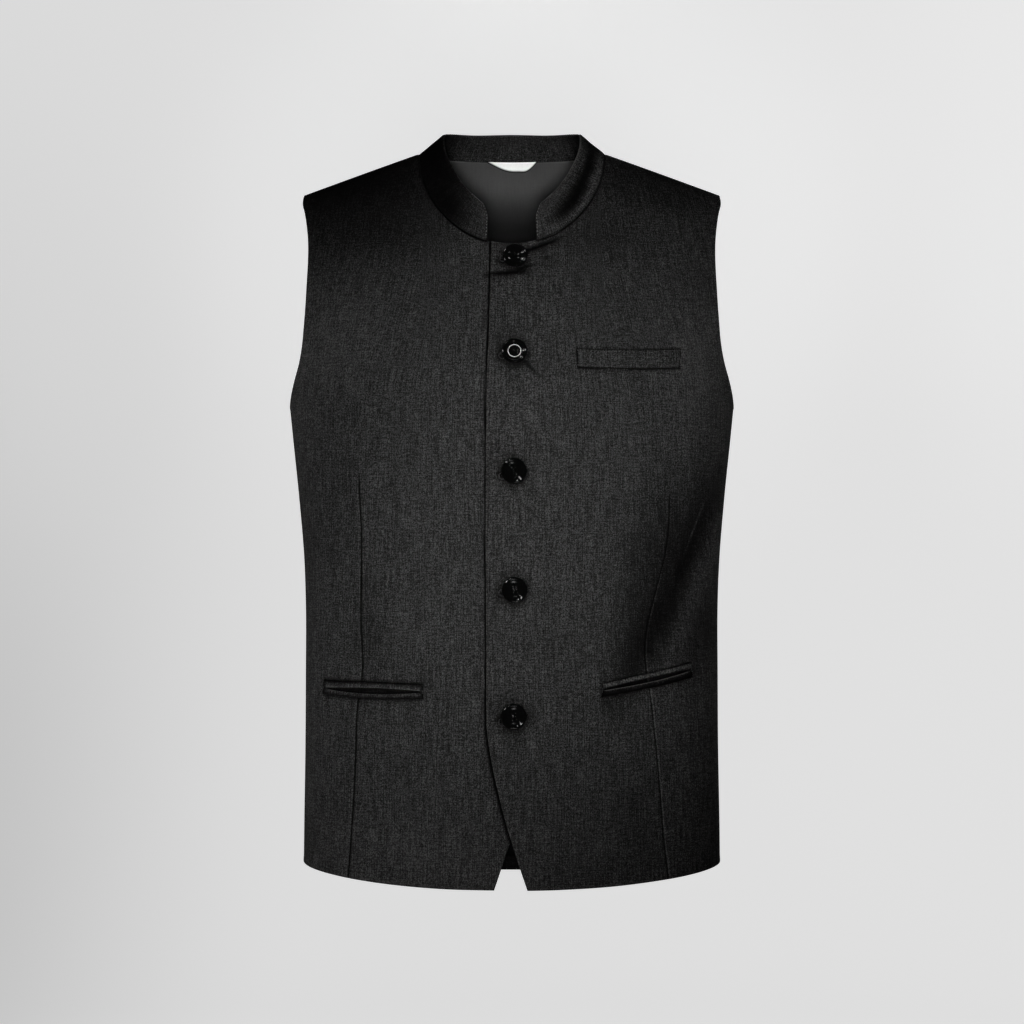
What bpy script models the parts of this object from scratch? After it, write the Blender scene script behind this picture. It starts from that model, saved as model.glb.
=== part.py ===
"""A man's sleeveless Nehru jacket, buttoned up and filled out as it is when worn. In metres.

+Z is up, the fronts face -Y and +X is the wearer's left. The origin lies midway between the
points where the collar meets the shoulder seams, which is where the garment rests on its wearer.

Every cloth piece is a wall that follows one worn form. A place on that form is given by "along",
the share of the half girth from the centre line (0) to the side seam (1), and by its height. The
form's depth there is the depth in the table, times the section's curve, times the shoulder's roll.
"""

import math

import bmesh
import bpy
import numpy as np
from mathutils import Matrix, Vector

# Cloth thicknesses and clearances
WALL = 0.0020  # cloth, interlining and facing pressed together
LINING_WALL = 0.0010
COLLAR_WALL = 0.0024
LABEL_WALL = 0.0008
WELT_WALL = 0.0020
SEAM_GAP = 0.0003
LAP_SHIFT = 0.0013  # how far each front leaves the form where the two lap

# The worn form
SECTION_POWER = 2.3  # 2 is an ellipse, and more is squarer
SECTION_ASPECT = 0.6  # depth over breadth, for spacing points evenly round the girth
SHOULDER_PEAK = 0.0316
SHOULDER_SLOPE = 0.37
SHOULDER_ROUND = 0.030
SHOULDER_ROLL = 0.100  # drop in which the cloth rolls over from the shoulder seam to the chest
FORM_COLUMNS = ("height", "half_breadth", "front_depth", "back_depth")
FORM_ROWS = (
    (-0.720, 0.1944, 0.1180, 0.1130),
    (-0.665, 0.1941, 0.1170, 0.1110),
    (-0.622, 0.1936, 0.1155, 0.1070),
    (-0.566, 0.1927, 0.1135, 0.1010),
    (-0.490, 0.1922, 0.1120, 0.0940),
    (-0.425, 0.1922, 0.1130, 0.0925),
    (-0.383, 0.1936, 0.1155, 0.0950),
    (-0.326, 0.1983, 0.1200, 0.1015),
    (-0.270, 0.2040, 0.1235, 0.1085),
    (-0.2416, 0.2068, 0.1235, 0.1110),
    (-0.200, 0.2110, 0.1160, 0.1125),
    (-0.150, 0.2145, 0.0980, 0.1100),
    (-0.090, 0.2170, 0.0690, 0.0980),
    (-0.050, 0.2180, 0.0600, 0.0880),
    (0.010, 0.2180, 0.0560, 0.0880),
)
FORM = dict(zip(FORM_COLUMNS, np.array(FORM_ROWS).T))

# Outlines
HEM_SIDE = -0.6646
FRONT_HEM_DROP = 0.0123
BACK_HEM_DROP = 0.0242
HEM_POWER = 2.2
NECK_HALF_BREADTH = 0.0855
FRONT_NECK_DROP = 0.0925
BACK_NECK_HEIGHT = -0.0015
SHOULDER_TIP = 0.1950  # breadth at the outer end of the shoulder seam
UNDERARM = -0.2416
ARMHOLE_COLUMNS = ("height", "half_breadth")
ARMHOLE_ROWS = (
    (-0.2416, 0.2068),
    (-0.2284, 0.2038),
    (-0.2150, 0.2000),
    (-0.2016, 0.1959),
    (-0.1882, 0.1931),
    (-0.1610, 0.1903),
    (-0.1335, 0.1889),
    (-0.0766, 0.1901),
    (-0.0590, 0.1932),
    (-0.0500, 0.1955),
)
ARMHOLE = dict(zip(ARMHOLE_COLUMNS, np.array(ARMHOLE_ROWS).T))

# The front edges, measured past the centre line
LAP_AT_NECK = 0.0200
LAP_AT_WAIST = 0.0232
CUTAWAY_START = -0.5330
CUTAWAY_DROP = 0.1440
CUTAWAY_DEPTH = 0.0360
CUTAWAY_POWER = 1.5
LAP_FADE = (0.030, 0.060)  # breadths between which the lap's shift dies away

# Largest soft folds. A negative rise is a trough. Side is -1 for the fronts and +1 for the back.
FOLD_COLUMNS = ("side", "x0", "z0", "x1", "z1", "width", "rise")
FOLDS = (
    (-1, 0.172, -0.330, 0.112, -0.480, 0.020, -0.0040),
    (-1, 0.150, -0.345, 0.090, -0.500, 0.022, 0.0025),
    (-1, 0.115, -0.560, 0.128, -0.670, 0.024, -0.0040),
    (-1, -0.150, -0.250, -0.165, -0.420, 0.022, -0.0025),
    (-1, -0.100, -0.550, -0.120, -0.670, 0.026, -0.0025),
    (1, -0.120, -0.300, -0.075, -0.470, 0.024, -0.0040),
    (1, 0.125, -0.290, 0.070, -0.450, 0.022, -0.0035),
    (1, -0.060, -0.520, -0.075, -0.680, 0.028, -0.0035),
    (1, 0.085, -0.540, 0.095, -0.680, 0.026, -0.0030),
)

# Collar: a stand band. Columns: share of the way from centre back to the front end, height, lean.
COLLAR_COLUMNS = ("share", "height", "lean_degrees")
COLLAR_ROWS = (
    (0.00, 0.0290, 36.0),
    (0.25, 0.0290, 44.0),
    (0.45, 0.0290, 50.0),
    (0.65, 0.0300, 38.0),
    (0.82, 0.0320, 22.0),
    (1.00, 0.0330, 12.0),
)
COLLAR = dict(zip(COLLAR_COLUMNS, np.array(COLLAR_ROWS).T))
COLLAR_END = 0.0227  # breadth at which the band stops short of the centre front
COLLAR_CORNER = 0.0140  # radius of its rounded front corner
COLLAR_END_SLANT = 0.28  # how far the band's front end is turned from square to upright
COLLAR_END_LENGTH = 0.25  # share of the band over which it turns
COLLAR_GAP = 0.0009

# Buttons
BUTTON_PLACES = (  # (breadth, height) where each button's shank leaves the fronts, from the top
    (0.0030, -0.1053),
    (0.0020, -0.1932),
    (0.0020, -0.3000),
    (0.0025, -0.4064),
    (0.0016, -0.5203),
)
RINGED_BUTTON = 2
BUTTON_RADIUS = 0.0113
BUTTON_CLEARANCE = 0.0008
SHANK_RADIUS = 0.0009
BUTTON_SIDES = 24
BUTTONHOLE_HALF_LENGTH = 0.0135
BUTTONHOLE_HALF_WIDTH = 0.0021
BUTTONHOLE_EYE = 0.0023
BUTTONHOLE_EYE_DEGREES = np.arange(40, 321, 40)  # round the eye, from the slit and back to it
BUTTONHOLE_SLIT_SHARES = np.linspace(-0.6, 1, 7)  # along the slit, from the eye to its far end
BUTTONHOLE_DROP = 0.0008  # the holes ride this far below the shanks they pull on
BUTTONHOLE_REACH = 0.006  # how deep the cutter goes either way

# A button's turned face: (share of its radius, height above its back), from the back round
BUTTON_PROFILE = (
    (0.80, 0.0000),
    (0.97, 0.0006),
    (1.00, 0.0016),
    (0.95, 0.0030),
    (0.82, 0.0032),
    (0.66, 0.0020),
    (0.48, 0.0019),
    (0.00, 0.0016),
)
RING_RADIUS = 0.0063
RING_WIDTH = 0.0011
RING_WALL = 0.0006
RING_REST = 0.0023
RING_SIDES = 24

# How much of the back's outermost cells the lining covers: at its foot, its top and its sides
LINING_TRIM = (0.55, 0.90, 0.60)
LINING_GAP = 0.0013
LAYER_GAP = 0.0004

# Neck label
LABEL_HALF_LENGTH = 0.0250
LABEL_HEIGHT = 0.0095
LABEL_ENDS = 0.12  # its height at both ends, as a share
LABEL_BOW = 3  # power of the bow along its foot
LABEL_DROP = 0.0005
LABEL_GAP = 0.0012

# Welt and jets: corners as (breadth, height) at top near, top far, low near and low far, where
# near is the centre front's side; then how far the top and the low edge sag at mid length.
BREAST_WELT = (
    ((0.0581, -0.1911), (0.1527, -0.1896), (0.0585, -0.2080), (0.1508, -0.2075)),
    (0.0012, 0.0012),
)
STRIP_EDGE = 0.12  # how far from its edges, as a share of half a wave, a strip's swell starts
JET_WALL = 0.0022
JETS = {
    "left_pocket_upper_jet": (
        1,
        ((0.0808, -0.4923), (0.1630, -0.4755), (0.0810, -0.4972), (0.1632, -0.4808)),
        (0.0002, -0.0006),
    ),
    "left_pocket_lower_jet": (
        1,
        ((0.0812, -0.4986), (0.1636, -0.4824), (0.0803, -0.5040), (0.1649, -0.4884)),
        (0.0010, 0.0006),
    ),
    "right_pocket_upper_jet": (
        -1,
        ((0.0796, -0.4928), (0.1713, -0.4918), (0.0797, -0.4986), (0.1713, -0.4981)),
        (-0.0004, -0.0022),
    ),
    "right_pocket_lower_jet": (
        -1,
        ((0.0797, -0.5001), (0.1713, -0.4995), (0.0794, -0.5053), (0.1723, -0.5040)),
        (0.0030, 0.0012),
    ),
}

# Mesh density
COLUMNS_NECK = 7
COLUMNS_SHOULDER = 8
ROWS_BELOW = 11
ROWS_ABOVE = 13
UNDERARM_SHARE = 0.68  # share of the rows' span that lies below the underarm
ROW_BUNCHING = 1.4
COLLAR_COLUMNS_HALF = 22
COLLAR_ROWS_UP = 3
COLLAR_BUNCHING = 1.5
STRIP_COLUMNS = 9
STRIP_ROWS = 2
LABEL_COLUMNS = 10
CURVE_SAMPLES = 800  # points on which a curve's length is measured
SHARP_DEGREES = 40


def smooth_curve(knots, values, at):
    """Values on a cubic through the knots, whose slope at each knot comes from its neighbours."""
    slopes = np.gradient(values, knots)
    at = np.clip(at, knots[0], knots[-1])
    i = np.clip(np.searchsorted(knots, at) - 1, 0, len(knots) - 2)
    step = knots[i + 1] - knots[i]
    t = (at - knots[i]) / step
    rise = values[i + 1] - values[i]
    start = (t - 2 * t**2 + t**3) * step * slopes[i]
    end = (t**3 - t**2) * step * slopes[i + 1]
    return values[i] + (3 * t**2 - 2 * t**3) * rise + start + end


def smooth_step(low, high, at):
    """0 below low, 1 above high, and a smooth rise between."""
    t = np.clip((at - low) / (high - low), 0, 1)
    return t * t * (3 - 2 * t)


def section_table():
    """Breadth and depth shares along a quarter of the section, with their share of its length."""
    angle = np.linspace(0, math.pi / 2, CURVE_SAMPLES)
    breadth = np.sin(angle) ** (2 / SECTION_POWER)
    depth = np.cos(angle) ** (2 / SECTION_POWER)
    length = np.cumsum(np.hypot(np.diff(breadth), SECTION_ASPECT * np.diff(depth)))
    return np.concatenate([[0], length / length[-1]]), breadth, np.abs(depth)


ALONG, BREADTH, DEPTH = section_table()


def form(column, height):
    return smooth_curve(FORM["height"], FORM[column], height)


def form_slope(column, height, step=0.0005):
    return (form(column, height + step) - form(column, height - step)) / (2 * step)


def along_at(x, height):
    """The share along the half girth at which the form is x wide."""
    return np.sign(x) * np.interp(np.abs(x) / form("half_breadth", height), BREADTH, ALONG)


def shoulder_line(x):
    return SHOULDER_PEAK - SHOULDER_SLOPE * np.sqrt(x**2 + SHOULDER_ROUND**2)


def fold_rise(x, z, side):
    """Soft folds: a bell across each fold's line, fading out towards both its ends."""
    total = np.zeros_like(x)
    for row in FOLDS:
        fold = dict(zip(FOLD_COLUMNS, row))
        if fold["side"] != side:
            continue
        run = np.array([fold["x1"] - fold["x0"], fold["z1"] - fold["z0"]])
        length = np.hypot(*run)
        run = run / length
        from_start = x - fold["x0"], z - fold["z0"]
        share = (from_start[0] * run[0] + from_start[1] * run[1]) / length
        across = from_start[0] * run[1] - from_start[1] * run[0]
        fade = np.clip(4 * share * (1 - share), 0, 1) ** 2
        total += fold["rise"] * fade * np.exp(-((across / fold["width"]) ** 2))
    return total


def torso(along, height, side):
    """Points on the worn form and its outward normals. Side is -1 in front and +1 behind."""
    along, height = np.broadcast_arrays(np.asarray(along, float), np.asarray(height, float))
    share = np.sign(along) * np.interp(np.abs(along), ALONG, BREADTH)
    curve = np.interp(np.abs(along), ALONG, DEPTH)
    half = form("half_breadth", height)
    half_slope = form_slope("half_breadth", height)
    column = "front_depth" if side < 0 else "back_depth"
    deep = form(column, height)
    deep_slope = form_slope(column, height)
    x = half * share
    below = np.clip((shoulder_line(x) - height) / SHOULDER_ROLL, 1e-6, 1)
    roll = np.sqrt(1 - (1 - below) ** 2)
    roll_slope = (1 - below) / roll / SHOULDER_ROLL
    line_slope = -SHOULDER_SLOPE * x / np.sqrt(x**2 + SHOULDER_ROUND**2)
    curve_slope = -np.sign(share) * (np.abs(share) / np.maximum(curve, 1e-4)) ** (SECTION_POWER - 1)
    reach = deep * curve * roll
    reach_x = deep * (curve_slope / half * roll + curve * roll_slope * line_slope)
    narrowing = -curve_slope * share * half_slope / half
    reach_z = deep_slope * curve * roll + deep * (narrowing * roll - curve * roll_slope)
    points = np.stack([x, side * (reach + SEAM_GAP / 2), height], axis=-1)
    normals = np.stack([-reach_x, np.full_like(x, side), -reach_z], axis=-1)
    return points, normals / np.linalg.norm(normals, axis=-1, keepdims=True)


def on_form(along, height, side, offset, hand=1, lapped=False):
    """Points at an offset outside the form, on its folds.

    A hand of -1 mirrors them to the wearer's right. Where the fronts lap, the left one moves out
    from the form and the right one in.
    """
    points, normals = torso(along, height, side)
    x, z = points[..., 0], points[..., 2]
    lift = offset + fold_rise(hand * x, z, side)
    if lapped:
        lift = lift + hand * LAP_SHIFT * (1 - smooth_step(*LAP_FADE, x))
    points = points + lift[..., None] * normals
    points[..., 0] *= hand
    return points


def front_edge(height):
    """How far past the centre line a front reaches: a straight edge, then the cutaway curve."""
    straight = np.interp(
        height, (CUTAWAY_START, -FRONT_NECK_DROP), (LAP_AT_WAIST, LAP_AT_NECK)
    )
    fall = np.maximum(CUTAWAY_START - height, 0) / CUTAWAY_DROP
    return straight - CUTAWAY_DEPTH * fall**CUTAWAY_POWER


def hem_height(along, side):
    share = np.interp(np.abs(along), ALONG, BREADTH)
    drop = FRONT_HEM_DROP if side < 0 else BACK_HEM_DROP
    return HEM_SIDE - drop * (1 - share**HEM_POWER)


def neck_edge(turn, side):
    """Breadth and height of the neck edge, from the centre (turn 0) to the shoulder (turn 90)."""
    x = NECK_HALF_BREADTH * np.sin(turn)
    top = shoulder_line(NECK_HALF_BREADTH)
    low = -FRONT_NECK_DROP if side < 0 else BACK_NECK_HEIGHT
    return x, top + (low - top) * np.cos(turn)


def armhole_edge(share):
    """Along and height on the armhole at shares of its length, from underarm to shoulder tip."""
    rise = np.linspace(0, 1, CURVE_SAMPLES) ** 2
    tip = shoulder_line(SHOULDER_TIP)
    height = UNDERARM + (tip - UNDERARM) * rise
    knots = np.append(ARMHOLE["height"], tip)
    breadths = np.append(ARMHOLE["half_breadth"], SHOULDER_TIP)
    along = along_at(smooth_curve(knots, breadths, height), height)
    along[0] = 1
    points, _ = torso(along, height, -1)
    length = np.cumsum(np.linalg.norm(np.diff(points, axis=0), axis=1))
    length = np.concatenate([[0], length / length[-1]])
    return np.interp(share, length, along), np.interp(share, length, height)


def row_shares():
    """Row places from hem (0) to top (1): even up to the underarm, then closer to the seam."""
    low = np.linspace(0, UNDERARM_SHARE, ROWS_BELOW + 1)
    high = 1 - np.linspace(1, 0, ROWS_ABOVE + 1) ** ROW_BUNCHING
    return np.concatenate([low, UNDERARM_SHARE + (1 - UNDERARM_SHARE) * high[1:]])


def column_shares():
    return np.linspace(0, 1, COLUMNS_NECK + COLUMNS_SHOULDER + 1)


def panel_patch(across, up, side):
    """Along and height at shares across (centre to side) and up (hem to top) of half a panel.

    The four edges are joined as a Coons patch: the blend of opposite edges, less the corners.
    """
    u, v = np.meshgrid(across, up)
    neck_share = COLUMNS_NECK / (COLUMNS_NECK + COLUMNS_SHOULDER)

    def centre(v):
        if side > 0:
            low = hem_height(0, side)
            return np.zeros_like(v), low + (BACK_NECK_HEIGHT - low) * v
        low, top = front_tip_height(), front_corner_height()
        height = low + (top - low) * v
        return along_at(-front_edge(height), height), height

    def seam(v):
        high = np.clip((v - UNDERARM_SHARE) / (1 - UNDERARM_SHARE), 0, 1)
        along, height = armhole_edge(high)
        low = HEM_SIDE + (UNDERARM - HEM_SIDE) * v / UNDERARM_SHARE
        below = v <= UNDERARM_SHARE
        return np.where(below, 1, along), np.where(below, low, height)

    def top(u):
        first = 0 if side > 0 else -math.asin(LAP_AT_NECK / NECK_HALF_BREADTH)
        turn = first + (math.pi / 2 - first) * np.clip(u / neck_share, 0, 1)
        neck_x, neck_z = neck_edge(turn, side)
        share = np.clip((u - neck_share) / (1 - neck_share), 0, 1)
        shoulder_x = NECK_HALF_BREADTH + (SHOULDER_TIP - NECK_HALF_BREADTH) * share
        x = np.where(u <= neck_share, neck_x, shoulder_x)
        z = np.where(u <= neck_share, neck_z, shoulder_line(shoulder_x))
        return along_at(x, z), z

    def hem(u):
        first = centre(np.zeros(1))[0][0]
        along = first + (1 - first) * u
        return along, hem_height(along, side)

    result = []
    zero, one = np.zeros(1), np.ones(1)
    for i in range(2):
        sides = (1 - u) * centre(v)[i] + u * seam(v)[i]
        ends = (1 - v) * hem(u)[i] + v * top(u)[i]
        corners = (1 - v) * ((1 - u) * hem(zero)[i] + u * hem(one)[i])
        corners += v * ((1 - u) * top(zero)[i] + u * top(one)[i])
        result.append(sides + ends - corners)
    return result


def front_tip_height():
    """Height of the cutaway tip, where the front edge runs into the hem."""
    height = HEM_SIDE - FRONT_HEM_DROP
    for _ in range(4):
        height = float(hem_height(along_at(front_edge(height), height), -1))
    return height


def front_corner_height():
    """Height of the top corner, where the front edge meets the neck edge."""
    turn = math.asin(LAP_AT_NECK / NECK_HALF_BREADTH)
    return float(neck_edge(turn, -1)[1])


def new_material(name, colour, roughness, metallic=0.0):
    material = bpy.data.materials.new(name)
    material.use_nodes = True
    shader = material.node_tree.nodes["Principled BSDF"]
    shader.inputs["Base Color"].default_value = (*colour, 1)
    shader.inputs["Roughness"].default_value = roughness
    shader.inputs["Metallic"].default_value = metallic
    return material


def new_object(name, vertices, faces, material):
    """One closed mesh object with its faces turned outwards."""
    mesh = bpy.data.meshes.new(name)
    mesh.from_pydata([tuple(map(float, vertex)) for vertex in vertices], [], faces)
    shape = bmesh.new()
    shape.from_mesh(mesh)
    bmesh.ops.recalc_face_normals(shape, faces=shape.faces)
    shape.to_mesh(mesh)
    shape.free()
    mesh.materials.append(material)
    mesh.shade_smooth()
    mesh.set_sharp_from_angle(angle=math.radians(SHARP_DEGREES))
    piece = bpy.data.objects.new(name, mesh)
    bpy.context.scene.collection.objects.link(piece)
    return piece


def wall(name, outer, inner, material):
    """A closed wall between two grids of points of the same size, with matching facets."""
    rows, columns = outer.shape[:2]
    index = np.arange(rows * columns).reshape(rows, columns)
    near, right, far, up = index[:-1, :-1], index[:-1, 1:], index[1:, 1:], index[1:, :-1]
    halves = [np.stack([near, right, far], axis=-1), np.stack([near, far, up], axis=-1)]
    facets = np.concatenate([half.reshape(-1, 3) for half in halves])
    behind = rows * columns
    rim = np.concatenate([index[0], index[1:, -1], index[-1, -2::-1], index[-2:0:-1, 0]])
    following = np.roll(rim, -1)
    border = np.stack([rim, rim + behind, following + behind, following], axis=-1)
    faces = facets.tolist() + (facets[:, ::-1] + behind).tolist() + border.tolist()
    vertices = np.concatenate([outer.reshape(-1, 3), inner.reshape(-1, 3)])
    return new_object(name, vertices, faces, material)


def mirrored_grid(half):
    """A grid from side to side, from its left half, whose first column is the centre line."""
    other = half[:, :0:-1].copy()
    other[..., 0] *= -1
    return np.concatenate([other, half], axis=1)


def make_front(name, hand, material):
    along, height = panel_patch(column_shares(), row_shares(), -1)
    outer = on_form(along, height, -1, WALL / 2, hand, lapped=True)
    inner = on_form(along, height, -1, -WALL / 2, hand, lapped=True)
    return wall(name, outer, inner, material)


def trimmed(grid, foot, top, side):
    """The grid with its outermost cells cut back to these shares of their size."""
    grid = grid.copy()
    grid[0] = grid[1] + (grid[0] - grid[1]) * foot
    grid[-1] = grid[-2] + (grid[-1] - grid[-2]) * top
    grid[:, 0] = grid[:, 1] + (grid[:, 0] - grid[:, 1]) * side
    grid[:, -1] = grid[:, -2] + (grid[:, -1] - grid[:, -2]) * side
    return grid


def back_grid(offset):
    """Points across the whole back, at an offset from the form."""
    along, height = panel_patch(column_shares(), row_shares(), 1)
    left, right = (on_form(along, height, 1, offset, hand) for hand in (1, -1))
    return np.concatenate([right[:, :0:-1], left], axis=1)


def make_back(material):
    return wall("back", back_grid(WALL / 2), back_grid(-WALL / 2), material)


def make_lining(material):
    """The lining lies flat inside the back, facet for facet, and stops short of its edges."""
    near = -(WALL / 2 + LINING_GAP)
    faces = [trimmed(back_grid(move), *LINING_TRIM) for move in (near, near - LINING_WALL)]
    return wall("back_lining", *faces, material)


def neck_seam(shares):
    """Points on the neck edge from the centre back (0) to the collar's front end (1)."""
    spread = np.linspace(0, 1, CURVE_SAMPLES)
    back_turn = math.pi / 2 * (1 - (1 - spread) ** 2)
    last = math.asin(COLLAR_END / NECK_HALF_BREADTH)
    front_turn = math.pi / 2 + (last - math.pi / 2) * spread**2
    runs = []
    for side, turn in ((1, back_turn), (-1, front_turn)):
        x, z = neck_edge(turn, side)
        runs.append(torso(along_at(x, z), z, side)[0])
    points = np.concatenate(runs)
    length = np.concatenate([[0], np.cumsum(np.linalg.norm(np.diff(points, axis=0), axis=1))])
    at = np.asarray(shares) * length[-1]
    return np.stack([np.interp(at, length, points[:, i]) for i in range(3)], axis=-1)


def collar_half(rise_shares):
    """Middle points and outward normals of half the collar: rows rise, columns run to the front."""
    length = np.linspace(0, 1, COLLAR_COLUMNS_HALF + 1)
    shares = 1 - (1 - length) ** COLLAR_BUNCHING
    seam = neck_seam(shares)
    step = 0.01
    tangent = neck_seam(np.clip(shares + step, 0, 1)) - neck_seam(np.clip(shares - step, 0, 1))
    tangent[0] = (1, 0, 0)
    tangent /= np.linalg.norm(tangent, axis=1, keepdims=True)
    up = np.array([0, 0, 1.0]) - tangent[:, 2:] * tangent
    up /= np.linalg.norm(up, axis=1, keepdims=True)
    out = np.cross(tangent, up)
    out *= np.sign(out[:1, 1:2])
    lean = np.radians(smooth_curve(COLLAR["share"], COLLAR["lean_degrees"], shares))[:, None]
    rise = up * np.cos(lean) - out * np.sin(lean)
    slant = COLLAR_END_SLANT * smooth_step(1 - COLLAR_END_LENGTH, 1, shares)[:, None]
    rise = rise - slant * tangent
    normal = out * np.cos(lean) + up * np.sin(lean)
    height = smooth_curve(COLLAR["share"], COLLAR["height"], shares)
    run = np.linalg.norm(np.diff(seam, axis=0), axis=1)
    from_end = np.append(np.cumsum(run[::-1])[::-1], 0)
    into = np.clip(COLLAR_CORNER - from_end, 0, COLLAR_CORNER)
    height = height - COLLAR_CORNER + np.sqrt(COLLAR_CORNER**2 - into**2)
    grow = COLLAR_GAP + rise_shares[:, None] * (height - COLLAR_GAP)
    points = seam[None] + grow[..., None] * rise[None]
    normals = np.broadcast_to(normal[None], points.shape)
    return points, normals


def make_collar(material):
    middle, normals = collar_half(np.linspace(0, 1, COLLAR_ROWS_UP + 1))
    outer = mirrored_grid(middle + normals * COLLAR_WALL / 2)
    inner = mirrored_grid(middle - normals * COLLAR_WALL / 2)
    return wall("collar", outer, inner, material)


def torso_offset(along, height, offset):
    """Points behind the wearer at an offset from the form."""
    points, normals = torso(along, height, 1)
    return points + offset * normals


def make_label(material):
    """A bare loop label: straight along its top and bowed along its foot."""
    across = np.linspace(-1, 1, LABEL_COLUMNS + 1)
    top = BACK_NECK_HEIGHT - LABEL_DROP
    depth = LABEL_HEIGHT * (1 - (1 - LABEL_ENDS) * np.abs(across) ** LABEL_BOW)
    height = top - np.array([[1.0], [0.0]]) * depth
    x = across * LABEL_HALF_LENGTH + 0 * height
    along = along_at(x, height)
    near = -(WALL / 2 + LINING_GAP + LINING_WALL + LABEL_GAP)
    outer = torso_offset(along, height, near)
    inner = torso_offset(along, height, near - LABEL_WALL)
    return wall("neck_label", outer, inner, material)


def strip(name, hand, corners, bow, thickness, material):
    """A welt or jet lying on a front.

    corners are (breadth, height) at top near, top far, low near and low far; bow is how far the
    strip's long edges sag at mid length. Its outer face is drawn in a little from its edges.
    """
    across, up = np.meshgrid(np.linspace(0, 1, STRIP_COLUMNS + 1), np.linspace(0, 1, STRIP_ROWS + 1))
    corners = np.array(corners)
    top = corners[0] + (corners[1] - corners[0]) * across[..., None]
    low = corners[2] + (corners[3] - corners[2]) * across[..., None]
    place = low + (top - low) * up[..., None]
    sag = 4 * across * (1 - across)
    place[..., 1] -= sag * (bow[1] + (bow[0] - bow[1]) * up)
    near = WALL / 2 + LAYER_GAP
    swell = np.sqrt(np.sin(np.pi * (STRIP_EDGE + (1 - 2 * STRIP_EDGE) * up)))
    faces = []
    for lift in (near + thickness * swell, near):
        along = along_at(place[..., 0], place[..., 1])
        faces.append(on_form(along, place[..., 1], -1, lift, hand, lapped=True))
    return wall(name, faces[0], faces[1], material)


def seat_on_front(piece, place):
    """Turns a piece made round Z to stand out from the fronts at a (breadth, height)."""
    x, height = np.array(place)
    point, normal = (Vector(value) for value in torso(along_at(x, height), height, -1))
    turn = normal.to_track_quat("Z", "Y").to_matrix().to_4x4()
    piece.matrix_world = Matrix.Translation(point) @ turn


def turned(name, profile, sides, material):
    """A closed solid turned round Z from a profile of (radius, height) that starts on the axis."""
    profile = np.array(profile)
    angle = np.arange(sides) * 2 * math.pi / sides
    rings = profile[1:-1]
    ring = np.stack(
        [
            rings[:, :1] * np.cos(angle),
            rings[:, :1] * np.sin(angle),
            rings[:, 1:] + 0 * angle,
        ],
        axis=-1,
    )
    vertices = [(0, 0, profile[0, 1])] + ring.reshape(-1, 3).tolist() + [(0, 0, profile[-1, 1])]
    last = len(vertices) - 1
    faces = []
    for i in range(sides):
        j = (i + 1) % sides
        faces.append((0, 1 + j, 1 + i))
        for k in range(len(rings) - 1):
            a, b = 1 + k * sides, 1 + (k + 1) * sides
            faces.append((a + i, a + j, b + j, b + i))
        a = 1 + (len(rings) - 1) * sides
        faces.append((last, a + i, a + j))
    return new_object(name, vertices, faces, material)


def make_button(number, place, material):
    """A rimmed button, dished inside the rim, on a shank that goes down to the under front."""
    foot = WALL / 2 - LAP_SHIFT + SEAM_GAP
    back = LAP_SHIFT + WALL / 2 + BUTTON_CLEARANCE
    profile = [(0, foot), (SHANK_RADIUS, foot), (SHANK_RADIUS, back)]
    profile += [(radius * BUTTON_RADIUS, back + rise) for radius, rise in BUTTON_PROFILE]
    button = turned(f"button_{number}", profile, BUTTON_SIDES, material)
    seat_on_front(button, place)


def make_button_ring(place, material):
    """A thin bright ring laid in the dish of one button."""
    base = LAP_SHIFT + WALL / 2 + BUTTON_CLEARANCE + RING_REST
    low, high = RING_RADIUS - RING_WIDTH / 2, RING_RADIUS + RING_WIDTH / 2
    profile = ((low, base), (high, base), (high, base + RING_WALL), (low, base + RING_WALL))
    angles = np.arange(RING_SIDES) * 2 * math.pi / RING_SIDES
    vertices = [(r * math.cos(a), r * math.sin(a), z) for r, z in profile for a in angles]
    faces = []
    for k in range(len(profile)):
        here, there = k * RING_SIDES, (k + 1) % len(profile) * RING_SIDES
        for i in range(RING_SIDES):
            j = (i + 1) % RING_SIDES
            faces.append((here + i, here + j, there + j, there + i))
    ring = new_object(f"button_{RINGED_BUTTON}_ring", vertices, faces, material)
    seat_on_front(ring, place)


def cut_buttonhole(front, number, place):
    """A keyhole: a slit held open by the shank, with a round eye at the end by the front edge."""
    half, eye = BUTTONHOLE_HALF_LENGTH, BUTTONHOLE_EYE
    outline = [
        (eye - half + eye * math.cos(a), eye * math.sin(a))
        for a in np.radians(BUTTONHOLE_EYE_DEGREES)
    ]
    lower = [
        (half * share, -BUTTONHOLE_HALF_WIDTH * math.cos(math.pi / 2 * share))
        for share in BUTTONHOLE_SLIT_SHARES
    ]
    outline += lower + [(x, -z) for x, z in lower[-2::-1]]
    count = len(outline)
    vertices = [
        (x - place[0], z - BUTTONHOLE_DROP, depth)
        for depth in (-BUTTONHOLE_REACH, BUTTONHOLE_REACH)
        for x, z in outline
    ]
    faces = [tuple(range(count)), tuple(range(2 * count - 1, count - 1, -1))]
    for i in range(count):
        j = (i + 1) % count
        faces.append((i, j, count + j, count + i))
    cutter = new_object(f"buttonhole_cutter_{number}", vertices, faces, front.data.materials[0])
    seat_on_front(cutter, place)
    cutter.hide_render = True
    cutter.display_type = "WIRE"
    cut = front.modifiers.new(f"buttonhole_{number}", "BOOLEAN")
    cut.operation = "DIFFERENCE"
    cut.object = cutter


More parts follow.
